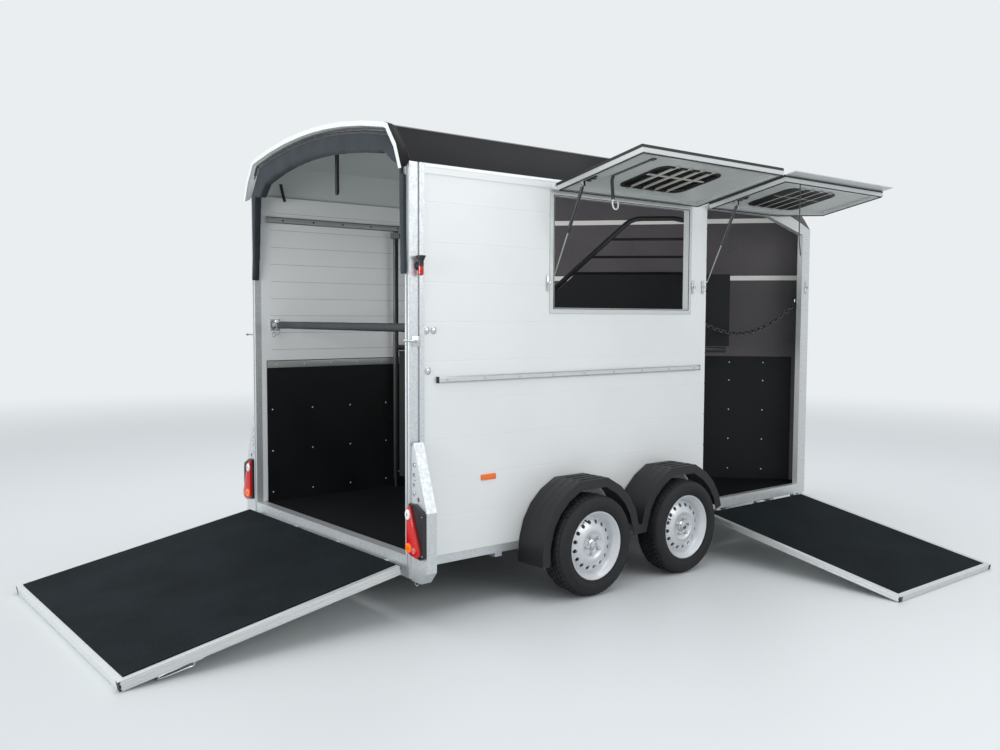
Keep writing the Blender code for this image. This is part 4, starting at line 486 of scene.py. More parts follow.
def roundNodes():
    # smooth shading across the facets of moulded and round parts, by a modifier, so that the mesh itself stays
    group = bpy.data.node_groups.new("smoothFacets", "GeometryNodeTree")
    for way in ("INPUT", "OUTPUT"):
        group.interface.new_socket("Geometry", in_out=way, socket_type="NodeSocketGeometry")
    start = addNode(group, "NodeGroupInput")
    merged = addNode(group, "GeometryNodeMergeByDistance", {"Distance": fine["nodeMerge"]},
                     {"Geometry": start.outputs[0]})
    faces = addNode(group, "GeometryNodeSetShadeSmooth", {"domain": "FACE"}, {"Geometry": merged.outputs[0]})
    angle = addNode(group, "GeometryNodeInputMeshEdgeAngle")
    soft = addNode(group, "FunctionNodeCompare", {"data_type": "FLOAT", "operation": "LESS_THAN"},
                   {"A": angle.outputs[0]})
    soft.inputs["B"].default_value = math.radians(fine["nodeSharp"])
    edges = addNode(group, "GeometryNodeSetShadeSmooth", {"domain": "EDGE"},
                    {"Geometry": faces.outputs[0], "Shade Smooth": soft.outputs[0]})
    addNode(group, "NodeGroupOutput", None, {0: edges.outputs[0]})
    for name in roundedNodes.split():
        nodes[name].modifiers.new("smoothFacets", "NODES").node_group = group


roundNodes()


# stage, camera and light

studio = {"floor": "#dde1e2", "shown": "#eaeef0", "blend": (6.5, 15.0), "size": 60.0, "level": -0.3406,
          "room": "#eef1f4", "roomStrength": 0.84}


def makeSeenShare(tree):
    # 1 for rays that show the backdrop: those of the camera, and of gloss
    ray = addNode(tree, "ShaderNodeLightPath")
    return addNode(tree, "ShaderNodeMath", {"operation": "MAXIMUM"},
                   {0: ray.outputs["Is Camera Ray"], 1: ray.outputs["Is Glossy Ray"]}).outputs[0]


def makeStage():
    # painted floor; far from the trailer it turns into the pale backdrop
    made = makeFinish("paintedStudioFloor", "", studio["floor"], 0.46, gloss=(0.42, 0.50),
                      texture=("Noise", {"Scale": 0.8, "Detail": 3.0}), Specular_IOR_Level=0.25)
    tree, shader, place = partsOf(made)
    away = addNode(tree, "ShaderNodeVectorMath", {"operation": "LENGTH"}, {0: place})
    near, far = studio["blend"]
    share = addNode(tree, "ShaderNodeMapRange",
                    {"interpolation_type": "SMOOTHSTEP", "From Min": near, "From Max": far},
                    {"Value": away.outputs["Value"]})
    both = addNode(tree, "ShaderNodeMath", {"operation": "MULTIPLY"},
                   {0: makeSeenShare(tree), 1: share.outputs["Result"]})
    backdrop = addNode(tree, "ShaderNodeEmission", {"Color": hexColour(studio["shown"]), "Strength": 1.0})
    blend = addNode(tree, "ShaderNodeMixShader", None,
                    {0: both.outputs[0], 1: shader.outputs[0], 2: backdrop.outputs[0]})
    tree.links.new(blend.outputs[0], tree.nodes["Material Output"].inputs["Surface"])
    bm = bmesh.new()
    bmesh.ops.create_grid(bm, x_segments=2, y_segments=2, size=studio["size"])
    bmesh.ops.translate(bm, vec=(0, 0, studio["level"]), verts=bm.verts)
    ground = newObject("studioFloor", bm, made)
    return ground


cameraView = {"place": (-4.018, -4.816, 1.211), "yaw": 0.887, "pitch": -0.062, "roll": 0.004, "lens": 34.0}


def makeCamera():
    yaw, pitch, roll = cameraView["yaw"], cameraView["pitch"], cameraView["roll"]
    ahead = Vector((math.cos(yaw) * math.cos(pitch), math.sin(yaw) * math.cos(pitch), math.sin(pitch)))
    flat = Vector((math.sin(yaw), -math.cos(yaw), 0))
    above = flat.cross(ahead)
    across = flat * math.cos(roll) + above * math.sin(roll)
    upward = above * math.cos(roll) - flat * math.sin(roll)
    data = bpy.data.cameras.new("photoCamera")
    data.lens = cameraView["lens"]
    data.sensor_width = 36
    camera = bpy.data.objects.new("photoCamera", data)
    bpy.context.scene.collection.objects.link(camera)
    turn = Matrix((across, upward, -ahead)).transposed().to_4x4()
    camera.matrix_world = Matrix.Translation(cameraView["place"]) @ turn
    bpy.context.scene.camera = camera


lamps = {
    "topSoft": {"place": (0.0, 0.0, 5.5), "aim": (0.2, 0.0, 0.6), "size": (7.0, 7.0), "power": 215},
    "rearSoft": {"place": (-6.5, -0.4, 1.5), "aim": (0.0, 0.3, 2.1), "size": (3.6, 2.0), "power": 260},
    "sideSoft": {"place": (1.5, -7.0, 3.2), "aim": (0.3, 0.0, 0.8), "size": (5.0, 3.0), "power": 100},
}


def makeLight(ground):
    for name, lamp in lamps.items():
        data = bpy.data.lights.new(name, "AREA")
        data.shape = "RECTANGLE"
        data.size, data.size_y = lamp["size"]
        data.energy = lamp["power"]
        made = bpy.data.objects.new(name, data)
        bpy.context.scene.collection.objects.link(made)
        place, aim = Vector(lamp["place"]), Vector(lamp["aim"])
        made.matrix_world = Matrix.Translation(place) @ (aim - place).to_track_quat("-Z", "Y").to_matrix().to_4x4()
        if name == "rearSoft":
            # this lamp stands low, and would draw a bright pool on the floor beside it
            spared = bpy.data.collections.new("sparedByTheLowLamp")
            spared.objects.link(ground)
            spared.collection_objects[0].light_linking.link_state = "EXCLUDE"
            made.light_linking.receiver_collection = spared
    world = bpy.data.worlds.new("studioWorld")
    bpy.context.scene.world = world
    world.use_nodes = True
    tree = world.node_tree
    tree.nodes.clear()
    room, shown = (addNode(tree, "ShaderNodeBackground", {"Color": hexColour(colour), "Strength": strength})
                   for colour, strength in ((studio["room"], studio["roomStrength"]), (studio["shown"], 1.0)))
    blend = addNode(tree, "ShaderNodeMixShader", None,
                    {0: makeSeenShare(tree), 1: room.outputs[0], 2: shown.outputs[0]})
    addNode(tree, "ShaderNodeOutputWorld", None, {"Surface": blend.outputs[0]})
    bpy.context.scene.view_settings.view_transform = "Standard"


makeCamera()
makeLight(makeStage())
print("stage, camera and light made")


# wheels: steel disc wheels with radial tyres

wheel = {
    "axles": {"rear": -0.334, "front": 0.431}, "halfTrack": 1.075, "height": -0.057,
    "holes": 16, "holeCircle": 0.129, "holeRadius": 0.0115, "nuts": 5, "nutCircle": 0.050,
    "pitches": 56, "block": (0.0272, 0.0100), "tread": 0.2826, "crown": 0.0030,
    "treadRibs": ((-0.0545, 0.0230), (-0.0270, 0.0200), (0.0, 0.0200), (0.0270, 0.0200), (0.0545, 0.0230)),
    "turns": {"rear_right": 0.35, "front_right": 1.1, "rear_left": 2.0, "front_left": 0.8},
}
tyreHalf = [
    (0.1752, 0.0610), (0.1850, 0.0652), (0.1940, 0.0694), (0.1962, 0.0788), (0.2000, 0.0838), (0.2040, 0.0848),
    (0.2060, 0.0832), (0.2110, 0.0866), (0.2200, 0.0892), (0.2300, 0.0899), (0.2400, 0.0892), (0.2415, 0.0880),
    (0.2430, 0.0888), (0.2530, 0.0868), (0.2610, 0.0828), (0.2680, 0.0768), (0.2730, 0.0690), (0.2745, 0.0600),
]
rimProfile = [
    (0.0335, 0.0240), (0.0335, 0.0395), (0.0360, 0.0415), (0.0400, 0.0418), (0.0560, 0.0420), (0.0660, 0.0440),
    (0.0730, 0.0490), (0.0800, 0.0518), (0.0900, 0.0515), (0.1050, 0.0470), (0.1250, 0.0385), (0.1400, 0.0300),
    (0.1465, 0.0235), (0.1500, 0.0230), (0.1540, 0.0300), (0.1600, 0.0450), (0.1680, 0.0560), (0.1760, 0.0625),
    (0.1800, 0.0705), (0.1860, 0.0750), (0.1905, 0.0748), (0.1928, 0.0722), (0.1922, 0.0690), (0.1850, 0.0655),
    (0.1746, 0.0610), (0.1620, 0.0360), (0.1565, 0.0300), (0.1560, -0.0200), (0.1744, -0.0360), (0.1744, -0.0630),
    (0.1926, -0.0700), (0.1926, -0.0730), (0.1870, -0.0750), (0.1720, -0.0640), (0.1500, -0.0300), (0.1490, 0.0100),
    (0.1380, 0.0210), (0.1050, 0.0400), (0.0850, 0.0450), (0.0700, 0.0400), (0.0620, 0.0340), (0.0560, 0.0330),
    (0.0400, 0.0320), (0.0380, 0.0240),
]
hubProfile = [(0, 0.0600), (0.0120, 0.0598), (0.0200, 0.0580), (0.0235, 0.0540), (0.0240, 0.0470), (0.0275, 0.0455),
              (0.0300, 0.0440), (0.0325, 0.0425), (0.0325, 0.0250), (0, 0.0250)]
wheelAxis = ((0, 0, 0), (0, 1, 0))


def makeTyre():
    bm = bmesh.new()
    turned(bm, tyreHalf + [(0.2752, 0.0)] + [(r, -a) for r, a in reversed(tyreHalf)], *wheelAxis, 112)
    edge = wheel["treadRibs"][-1][0]
    long, high = wheel["block"]
    for row, (across, width) in enumerate(wheel["treadRibs"]):
        top = wheel["tread"] - wheel["crown"] * (across / edge) ** 2
        lean = math.radians(9) * (across / edge) ** 3
        skew = Matrix.Rotation(math.radians(14 if row % 2 else -14), 3, "Z")
        for i in range(wheel["pitches"]):
            made = bmesh.ops.create_cube(bm, size=1.0)["verts"]
            bmesh.ops.scale(bm, vec=(long, width, high), verts=made)
            bmesh.ops.scale(bm, vec=(0.93, 0.93, 1.0), verts=[v for v in made if v.co.z > 0])
            bmesh.ops.rotate(bm, cent=(0, 0, 0), matrix=skew, verts=made)
            turn = Matrix.Rotation(2 * math.pi / wheel["pitches"] * (i + 0.5 * (row % 2)), 4, "Y")
            place = Matrix.Translation((0, across, top - 0.0052)) @ Matrix.Rotation(-lean, 4, "X")
            bmesh.ops.transform(bm, matrix=turn @ place, verts=made)
    return bm


def makeRim():
    # pressed disc and rim in one turned shell, with the ring of holes drilled by a boolean
    bm, drill = bmesh.new(), bmesh.new()
    turned(bm, rimProfile + rimProfile[:1], *wheelAxis, 112)
    bmesh.ops.remove_doubles(bm, verts=bm.verts, dist=fine["merge"])
    bmesh.ops.recalc_face_normals(bm, faces=bm.faces)
    for i in range(wheel["holes"]):
        angle = 2 * math.pi * (i + 0.5) / wheel["holes"]
        x, z = wheel["holeCircle"] * math.cos(angle), wheel["holeCircle"] * math.sin(angle)
        stick(drill, (x, -0.03, z), (x, 0.08, z), wheel["holeRadius"], count=24)
    disc, cutter = newObject("rimDisc", bm), newObject("rimDrill", drill)
    cutting = disc.modifiers.new("holes", "BOOLEAN")
    cutting.operation = "DIFFERENCE"
    cutting.solver = "EXACT"
    cutting.object = cutter
    applyModifiers(disc)
    made = bmesh.new()
    made.from_mesh(disc.data)
    for one in (disc, cutter):
        bpy.data.objects.remove(one)
    return made


def makeNuts():
    # zinc plated nuts and the drum's hub cap
    bm = bmesh.new()
    turned(bm, hubProfile, *wheelAxis, 48)
    for i in range(wheel["nuts"]):
        angle = 2 * math.pi * (i + 0.2) / wheel["nuts"]
        x, z = wheel["nutCircle"] * math.cos(angle), wheel["nutCircle"] * math.sin(angle)
        stick(bm, (x, 0.0410, z), (x, 0.0460, z), 0.0125, 0.0110, count=24)
        stick(bm, (x, 0.0455, z), (x, 0.0600, z), 0.0098, count=6, edge=0.0012)
        dome(bm, (x, 0.0595, z), (0, 1, 0), 0.0065, 0.0045)
    return bm


def makeValve():
    bm = bmesh.new()
    stick(bm, (0.0, 0.034, 0.1530), (0.006, 0.056, 0.1500), 0.0055, 0.0042, count=12)
    stick(bm, (0.006, 0.056, 0.1500), (0.009, 0.068, 0.1480), 0.0040, count=12, edge=0.0008)
    return bm


wheelPieces = (("tyre", makeTyre, tyreRubber, None), ("rim", makeRim, wheelPaint, None),
               ("nuts", makeNuts, brightSteel, None), ("valve", makeValve, blackPlastic, "black_rubber"))


def placeWheels():
    for kind, makeShape, finish, slotName in wheelPieces:
        shape = bpy.data.meshes.new(kind + "Shape")
        bm = makeShape()
        bm.to_mesh(shape)
        bm.free()
        for row, x in wheel["axles"].items():
            for word, side in sides:
                where = f"{row}_{word}"
                place = Matrix.Translation((x, side * wheel["halfTrack"], wheel["height"]))
                flip = Matrix.Rotation(0 if side > 0 else math.pi, 4, "Z")
                turn = place @ flip @ Matrix.Rotation(wheel["turns"][where], 4, "Y")
                bm = bmesh.new()
                bm.from_mesh(shape)
                standsFor = [f"{kind}_{where}"] if kind in ("tyre", "rim") else []
                makePiece(f"{kind}_{where}_look", bm, finish, *standsFor, body=f"wheel_{where}",
                          slotName=slotName, turn=turn)


placeWheels()
print("wheels made")


# tail lamps, clearance lamps and side reflectors

tailLamp = {
    "y": 0.911,
    "base": [(0, 0.276), (0.050, 0.278), (0.112, 0.250), (0.124, 0.236), (0.126, 0.020), (0.100, 0.006), (0, 0.020)],
    "baseMiddle": (0.055, 0.14), "baseSteps": ((-1.4003, 1.0), (-1.4200, 1.0), (-1.4235, 0.97)),
    "lens": [(0.002, 0.258), (0.024, 0.270), (0.040, 0.238), (0.075, 0.150), (0.108, 0.060), (0.108, 0.030),
             (0.085, 0.014), (0.045, 0.020), (0.002, 0.034)],
    "lensMiddle": (0.045, 0.12),
    "lensSteps": ((-1.4180, 1.0), (-1.4330, 1.0), (-1.4375, 0.965), (-1.4395, 0.90)),
    "rounds": (("white", 0.020, 0.226, 0.020, clearLens), ("amber", 0.028, 0.060, 0.025, amberLens),
               ("fog", 0.073, 0.052, 0.016, roseLens)),
}
clearance = {
    "x": -1.360, "y": 0.9053, "z": 1.460, "out": 0.028,
    "plate": [(0, 0), (0.0215, 0), (0.0215, 0.004), (0.0150, 0.009), (0.0125, 0.020), (0, 0.020)],
    "stem": [(0, 0.030), (0.0125, 0.028), (0.0138, 0.020), (0.0138, -0.004), (0, -0.004)],
    "head": [(0, 0.024), (0.0148, 0.024), (0.0185, 0.034), (0.0245, 0.046), (0.0240, 0.0498), (0, 0.0498)],
    "lens": [(0, -0.049), (0.0080, -0.0488), (0.0120, -0.046), (0.0139, -0.038), (0.0139, -0.003), (0, -0.003)],
}
reflector = {"x": (-0.955, -0.856), "y": (0.9002, 0.9065), "z": (0.341, 0.372)}


def makeTailLamp(word, side):
    def at(x, y, z):
        return Vector((x, side * (tailLamp["y"] + y), z))

    for name, finish, standsFor in (("base", lampHousing, ()), ("lens", redLens, (f"tail_lamp_{word}",))):
        my, mz = tailLamp[name + "Middle"]
        bm = bmesh.new()
        loft(bm, [[at(x, my + (y - my) * shrink, mz + (z - mz) * shrink) for y, z in tailLamp[name]]
                  for x, shrink in tailLamp[name + "Steps"]])
        makePiece(f"tail_lamp_{name}_{word}", bm, finish, *standsFor)
    for name, y, z, radius, finish in tailLamp["rounds"]:
        bm = bmesh.new()
        stick(bm, at(-1.4360, y, z), at(-1.4450, y, z), radius, radius * 0.94, count=40, edge=0.0012)
        for k in (0.72, 0.45):
            stick(bm, at(-1.4445, y, z), at(-1.4465, y, z), radius * k, radius * (k - 0.10), count=40)
        if name == "white":
            bmesh.ops.scale(bm, vec=(1, 1, 1.35), space=Matrix.Translation(-at(-1.44, y, z)), verts=bm.verts)
        makePiece(f"tail_lamp_{name}_{word}", bm, finish)
    bm = bmesh.new()
    for z in (0.225, 0.030):
        dome(bm, at(-1.4232, 0.118, z), (-1, 0, 0), 0.0035, 0.002)
    makePiece(f"tail_lamp_screws_{word}", bm, brightSteel)


def makeSmallLamps(word, side):
    root = Vector((clearance["x"], side * clearance["y"], clearance["z"]))
    lampMiddle = root + Vector((0, side * clearance["out"], 0))
    bm = bmesh.new()
    turned(bm, clearance["plate"], root, (0, side, 0))
    turned(bm, clearance["stem"], lampMiddle, (0, 0, 1))
    turned(bm, clearance["head"], lampMiddle, (0, 0, 1))
    makePiece(f"clearance_foot_{word}", bm, softRubber)
    bm = bmesh.new()
    turned(bm, clearance["lens"], lampMiddle, (0, 0, 1))
    makePiece(f"clearance_lens_{word}", bm, redLens, f"marker_lamp_{word}")
    bm = bmesh.new()
    block(bm, reflector["x"], [side * y for y in reflector["y"]], reflector["z"], 0.0022)
    makePiece(f"side_reflector_{word}", bm, amberLens)


for word, side in sides:
    makeTailLamp(word, side)
    makeSmallLamps(word, side)
print("lamps made")


# side flaps: inner skin, window seal and bars, edge seal, strut brackets, pull straps

flap = {"hinge": (0, -0.928, 1.915), "open": math.radians(101.5), "inner": -0.915, "floor": -0.935, "margin": 0.032,
        "edge": (-0.9558, -0.9400), "strutPin": (-1.1104, 1.9215), "barDepth": -0.934}
flapSizes = {
    "rear": {"x": (-0.460, 0.740), "z": (1.260, 1.903), "cut": (0, 0),
             "pane": ((-0.120, 0.390), (1.429, 1.759)), "strutX": -0.425},
    "front": {"x": (0.865, 1.975), "z": (1.335, 1.903), "cut": (0.400, 0.110),
              "pane": ((1.110, 1.620), (1.465, 1.795)), "strutX": 0.920},
}
flapTurn = about(flap["hinge"], "X", -flap["open"])


def around(place, half):
    return place - half, place + half


def grown(limits, by):
    return limits[0] - by, limits[1] + by


def flapOutline(sizes, inset, depth):
    (left, right), (low, high), (cutX, cutZ) = sizes["x"], sizes["z"], sizes["cut"]
    left, right, low = left + inset, right - inset, low + inset
    corners = [(left, low), (right, low), (right, high - inset), (left, high - inset)]
    if cutX:
        corners[2:3] = [(right, high - cutZ - inset * 0.76), (right + inset - cutX - inset * 0.12, high - inset)]
    return [Vector((x, depth, z)) for x, z in corners]


def makeFlapSkin(sizes, paneX, paneZ):
    # plate with a rounded hole for the window
    bm = bmesh.new()
    depth = flap["floor"] + 0.0004
    hole = roundedLoop(grown(paneX, 0.004), grown(paneZ, 0.004), 0.054, depth)
    edges = closedLoop(bm, flapOutline(sizes, flap["margin"] + 0.001, depth)) + closedLoop(bm, hole)
    filled = bmesh.ops.triangle_fill(bm, use_beauty=True, use_dissolve=True, edges=edges, normal=(0, 1, 0))
    faces = [g for g in filled["geom"] if isinstance(g, bmesh.types.BMFace)]
    bmesh.ops.solidify(bm, geom=faces, thickness=0.0012)
    return bm


def makeWindowBars(sizes, paneX, paneZ):
    bm = bmesh.new()
    depth, floor = flap["barDepth"], flap["floor"]
    for share in (0.2, 0.4, 0.6, 0.8):
        x = paneX[0] + share * (paneX[1] - paneX[0])
        stick(bm, (x, depth, paneZ[0] - 0.020), (x, depth, paneZ[1] + 0.020), 0.0078, edge=0.002)
        for z in grown(paneZ, 0.022):
            block(bm, around(x, 0.014), (floor, floor + 0.009), around(z, 0.009), 0.003)
    level = (paneZ[0] + paneZ[1]) / 2 - 0.035
    stick(bm, (paneX[0] + 0.012, depth, level), (paneX[1] - 0.012, depth, level), 0.0062, count=16, edge=0.002)
    return bm


def makeStrutBracket(sizes, paneX, paneZ):
    # a fan of four arms riveted to the skin, and the strut's pin between two cheeks
    bm = bmesh.new()
    x, y, z = flapTurn.inverted() @ Vector((sizes["strutX"], *flap["strutPin"]))
    face = flap["floor"] + 0.0018
    for lean in (-0.9, -0.3, 0.3, 0.9):
        spin = about((x + 0.012, 0, z), "Y", lean)
        block(bm, (x - 0.030, x + 0.085), (face, face + 0.0042), around(z, 0.009), 0.0014, turn=spin)
    for dz in (-0.026, 0.0, 0.026):
        for dx in (0.044, -0.022):
            dome(bm, (x + dx, face + 0.003, z + dz), (0, 1, 0), 0.0045, 0.0028)
    block(bm, (x + 0.0055, x + 0.0098), (face, y + 0.008), around(z, 0.009), 0.0018)
    stick(bm, (x - 0.0125, y, z), (x + 0.0135, y, z), 0.0040, count=16, edge=0.0008)
    return bm


def makeWindowSeal(sizes, paneX, paneZ):
    bm = bmesh.new()
    back, front = flap["floor"] - 0.002, flap["floor"] + 0.0062
    small = (grown(paneX, -0.006), grown(paneZ, -0.006), 0.046)
    large = (grown(paneX, 0.012), grown(paneZ, 0.012), 0.064)
    loft(bm, [roundedLoop(*large, back), roundedLoop(*large, front),
              roundedLoop(*small, front), roundedLoop(*small, back)], cyclic=True)
    return bm


def makeEdgeSeal(sizes, paneX, paneZ):
    bm = bmesh.new()
    hose(bm, flapOutline(sizes, 0.009, flap["inner"] + 0.0008), 0.0042, 1, cyclic=True)
    return bm


def makeEdgeStrip(sizes, paneX, paneZ):
    bm = bmesh.new()
    low, high = flap["edge"]
    steps = ((-0.0012, low), (-0.0012, high), (0.0012, high), (0.0012, low))
    loft(bm, [flapOutline(sizes, *step) for step in steps], cyclic=True)
    return bm


def makeRivets(sizes, paneX, paneZ):
    bm = bmesh.new()
    for share in (0.12, 0.38, 0.62, 0.88):
        x = sizes["x"][0] + share * (sizes["x"][1] - sizes["x"][0])
        dome(bm, (x, flap["inner"] + 0.0002, sizes["z"][0] + 0.020), (0, 1, 0), 0.0042, 0.0020)
    return bm


flapPieces = (("skin", makeFlapSkin, panelSkin), ("window_seal", makeWindowSeal, softRubber),
              ("edge_seal", makeEdgeSeal, softRubber), ("window_bars", makeWindowBars, paleCoat),
              ("strut_bracket", makeStrutBracket, powderCoat), ("edge_strip", makeEdgeStrip, softRubber),
              ("rivets", makeRivets, brightSteel))
for word, sizes in flapSizes.items():
    for name, makeShape, finish in flapPieces:
        makePiece(f"flap_{name}_{word}", makeShape(sizes, *sizes["pane"]), finish, body=f"flap_{word}", turn=flapTurn)

pullStrap = {
    "width": 0.024, "thick": 0.0024, "cord": (0.011, 0.003), "lift": 0.0034,
    "lying": ((-0.268, 1.352), (-0.270, 1.400), (-0.276, 1.520), (-0.282, 1.640)),
    "fall": ((-0.283, -1.187, 1.945), (-0.278, -1.188, 1.885), (-0.272, -1.186, 1.845)),
    "hook": ((-0.272, 1.850), (-0.276, 1.826), (-0.266, 1.802), (-0.248, 1.796), (-0.235, 1.806), (-0.232, 1.826),
             (-0.238, 1.838)),
    "front": ((0, 0, 0), (0, 0, -0.030), (0.001, 0, -0.150), (0.002, 0.001, -0.300), (0.010, 0.004, -0.350),
              (0.026, 0.008, -0.395), (0.036, 0.010, -0.430)),
}


def makePullStraps():
    # the part on the skin stays flat; the hanging end and the hook are pieces of their own, each with a mesh of its
    # own
    onSkin = flap["floor"] + pullStrap["lift"]
    size = (pullStrap["width"], pullStrap["thick"])
    lying = [flapTurn @ Vector((x, onSkin, z)) for x, z in pullStrap["lying"]]
    end = lying[-1]
    bm = bmesh.new()
    strap(bm, smoothLine(lying, 5), (1, 0, 0.05), *size)
    block(bm, (-0.284, -0.252), (onSkin - 0.001, onSkin + 0.003), (1.352, 1.384), 0.001, turn=flapTurn)
    makePiece("flap_strap_rear", bm, webbing, body="flap_rear")
    bm = bmesh.new()
    strap(bm, smoothLine([end, end + Vector((0, 0.004, -0.008)), *pullStrap["fall"]], 6), (1, 0, 0.05), *size)
    hanging = makePiece("flap_strap_end_rear", bm, webbing, body="flap_rear")
    bm = bmesh.new()
    hose(bm, smoothLine([(x, -1.186, z) for x, z in pullStrap["hook"]], 6), 0.0042, 2)
    hook = makePiece("flap_strap_hook_rear", bm, whitePlastic, body="flap_rear", slotName="black_plastic")
    for piece in (hanging, hook):
        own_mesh(piece)
    top = flapTurn @ Vector((1.040, flap["inner"] - 0.006, 1.352))
    bm = bmesh.new()
    strap(bm, smoothLine([top + Vector(p) for p in pullStrap["front"]], 6), (1, 0.2, 0), *pullStrap["cord"])
    piece = makePiece("flap_strap_front", bm, webbing, body="flap_front")
    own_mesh(piece)
    bm = bmesh.new()
    block(bm, (0.960, 1.110), (-0.9745, -0.9562), (1.300, 1.318), 0.004, 3)
    for x in (0.980, 1.090):
        block(bm, around(x, 0.008), (-0.9620, -0.9562), (1.280, 1.338), 0.002)
    makePiece("flap_handle_front", bm, blackPlastic, body="flap_front", turn=flapTurn)


makePullStraps()
print("side flaps made")


# stowed hood: coated cloth rolled along the arch, with piping and hanging straps

hoodLook = {"voxel": 0.007, "pressure": 4.0, "cap": 0.004, "frames": 20, "fill": 0.5, "pipingDrops": (0.008, 0.030),
            "pipingY": (0.800, -0.790), "pipingX": -1.4335}


def swell(piece, settings):
    remesh = piece.modifiers.new("remesh", "REMESH")
    remesh.mode = "VOXEL"
    remesh.voxel_size = settings["voxel"]
    applyModifiers(piece)
    before = [v.co.copy() for v in piece.data.vertices]
    cloth = piece.modifiers.new("cloth", "CLOTH")
    cloth.settings.use_pressure = True
    cloth.settings.uniform_pressure_force = settings["pressure"]
    cloth.settings.effector_weights.gravity = 0.0
    bpy.context.scene.frame_start = 1
    for step in range(1, settings["frames"] + 1):
        bpy.context.scene.frame_set(step)
    applyModifiers(piece)
    bpy.context.scene.frame_set(1)
    for vertex, old in zip(piece.data.vertices, before):
        move = vertex.co - old
        if move.length > settings["cap"]:
            vertex.co = old + move.normalized() * settings["cap"]
    bm = bmesh.new()
    bm.from_mesh(piece.data)
    for again in range(2):
        bmesh.ops.smooth_vert(bm, verts=bm.verts, factor=0.5, use_axis_x=True, use_axis_y=True, use_axis_z=True)
    bm.to_mesh(piece.data)
    bm.free()


def makeHood():
    bm = bmesh.new()
    bm.from_mesh(nodes["hood"].data)
    bmesh.ops.remove_doubles(bm, verts=bm.verts, dist=fine["nodeMerge"])
    bmesh.ops.recalc_face_normals(bm, faces=bm.faces)
    piece = newObject("hood_cloth", bm, hoodCloth)
    swell(piece, hoodLook)
    rounder = piece.modifiers.new("rounder", "SUBSURF")
    rounder.levels = rounder.render_levels = 1
    applyModifiers(piece)
    piece.data.shade_smooth()
    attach(piece, "trailer")
    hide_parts("hood")


def makeHoodTrim():
    # two lines of piping on the rear face of the roll, under the roof rim
    left, right = hoodLook["pipingY"]
    for row, drop in enumerate(hoodLook["pipingDrops"]):
        line = []
        for i in range(49):
            y = left + (right - left) * i / 48
            place, normal = strike("roof_rim", (-1.425, y, 1.94), (0, 0, 1))
            if place:
                line.append(Vector((hoodLook["pipingX"], y, place.z - drop)))
        bm = bmesh.new()
        hose(bm, smoothLine(line, 3), 0.0042, 2)
        makePiece(f"hood_piping_{row + 1}", bm, webbing)


def makeHangingStraps():
    # one loop in the middle, and a short end at the left
    top = strike("roof", (-1.13, 0.30, 1.975), (0, 0, 1))[0].z - 0.001
    half = [(-1.137, top), (-1.137, 2.10), (-1.138, 1.98), (-1.136, 1.950)]
    line = half + [(-1.130, 1.941)] + [(-2.260 - x, z) for x, z in reversed(half)]
    bm = bmesh.new()
    strap(bm, smoothLine([(x, 0.30, z) for x, z in line], 5), (0, 1, 0), 0.024, 0.0022)
    makePiece("hood_strap_middle", bm, webbing)
    place = strike("roof", (-1.243, 0.84, 1.975), (0, 0, 1))[0]
    top = min(place.z if place else 2.128, 2.16) - 0.001
    line = [(-1.243, 0.846, top), (-1.236, 0.844, 2.06), (-1.220, 0.843, 1.99), (-1.206, 0.843, 1.944)]
    bm = bmesh.new()
    strap(bm, smoothLine(line, 6), (1, 0, 0.2), 0.020, 0.0022)
    makePiece("hood_strap_left", bm, webbing)


makeHood()
makeHoodTrim()
makeHangingStraps()
print("hood made")


# padded breeching bar with its plug-in brackets

bar = {"x": -1.275, "z": 1.150, "half": 0.8642, "tube": 0.014, "pad": 0.0228, "from": -0.735, "to": 0.790,
       "wrinkle": 0.0005, "fill": 0.95}


def makeBar():
    x, z, tube, pad = bar["x"], bar["z"], bar["tube"], bar["pad"]
    bm = bmesh.new()
    stick(bm, (x, -bar["half"], z), (x, bar["half"], z), tube, count=32, edge=0.002)
    makePiece("bar_tube", bm, brightSteel, "breeching_bar")
    length = bar["to"] - bar["from"]
    start = [(tube - 0.0005, 0.0), (pad - 0.0050, 0.0), (pad - 0.0012, 0.0030), (pad, 0.0090)]
    sleeve = []
    for share in (i / 60 for i in range(1, 60)):
        wave = math.sin(share * 43) * math.sin(share * 17 + 1)
        sleeve.append((pad + bar["wrinkle"] * wave, 0.009 + share * (length - 0.018)))
    profile = start + sleeve + [(r, length - a) for r, a in reversed(start)]
    bm = bmesh.new()
    turned(bm, profile + profile[:1], (x, bar["from"], z), (0, 1, 0), 48)
    makePiece("bar_pad", bm, padSleeve)
    for word, side in sides:
        bm = bmesh.new()
        out = side * 0.838
        block(bm, around(x, 0.034), (side * 0.8608, side * 0.8644), around(z, 0.036), 0.0015)
        stick(bm, (x, side * 0.8610, z), (x, side * 0.826, z), 0.0195, 0.0185, count=32, edge=0.002)
        for dx, dz in ((-0.026, -0.028), (0.026, -0.028), (-0.026, 0.028), (0.026, 0.028)):
            dome(bm, (x + dx, side * 0.8610, z + dz), (0, -side, 0), 0.0045, 0.0030)
        stick(bm, (x, out, z + 0.030), (x, out, z - 0.034), 0.0035, count=16, edge=0.0006)
        hose(bm, circle((x, out, z - 0.046), (0.019, 0, 0), (0, 0, 0.019)), 0.0021, 1, cyclic=True)
        hose(bm, circle((x - 0.020, out, z - 0.062), (0.013, 0.006, 0), (0, 0, 0.016)), 0.0019, 1, cyclic=True)
        makePiece(f"bar_bracket_{word}", bm, brightSteel)


makeBar()
print("breeching bar made")


# chain across the side door

chain = {"from": (0.825, -0.847, 1.215), "to": (1.990, -0.847, 1.330), "sag": 0.165, "wire": 0.0046,
         "link": (0.030, 0.052), "pitch": 0.0350}


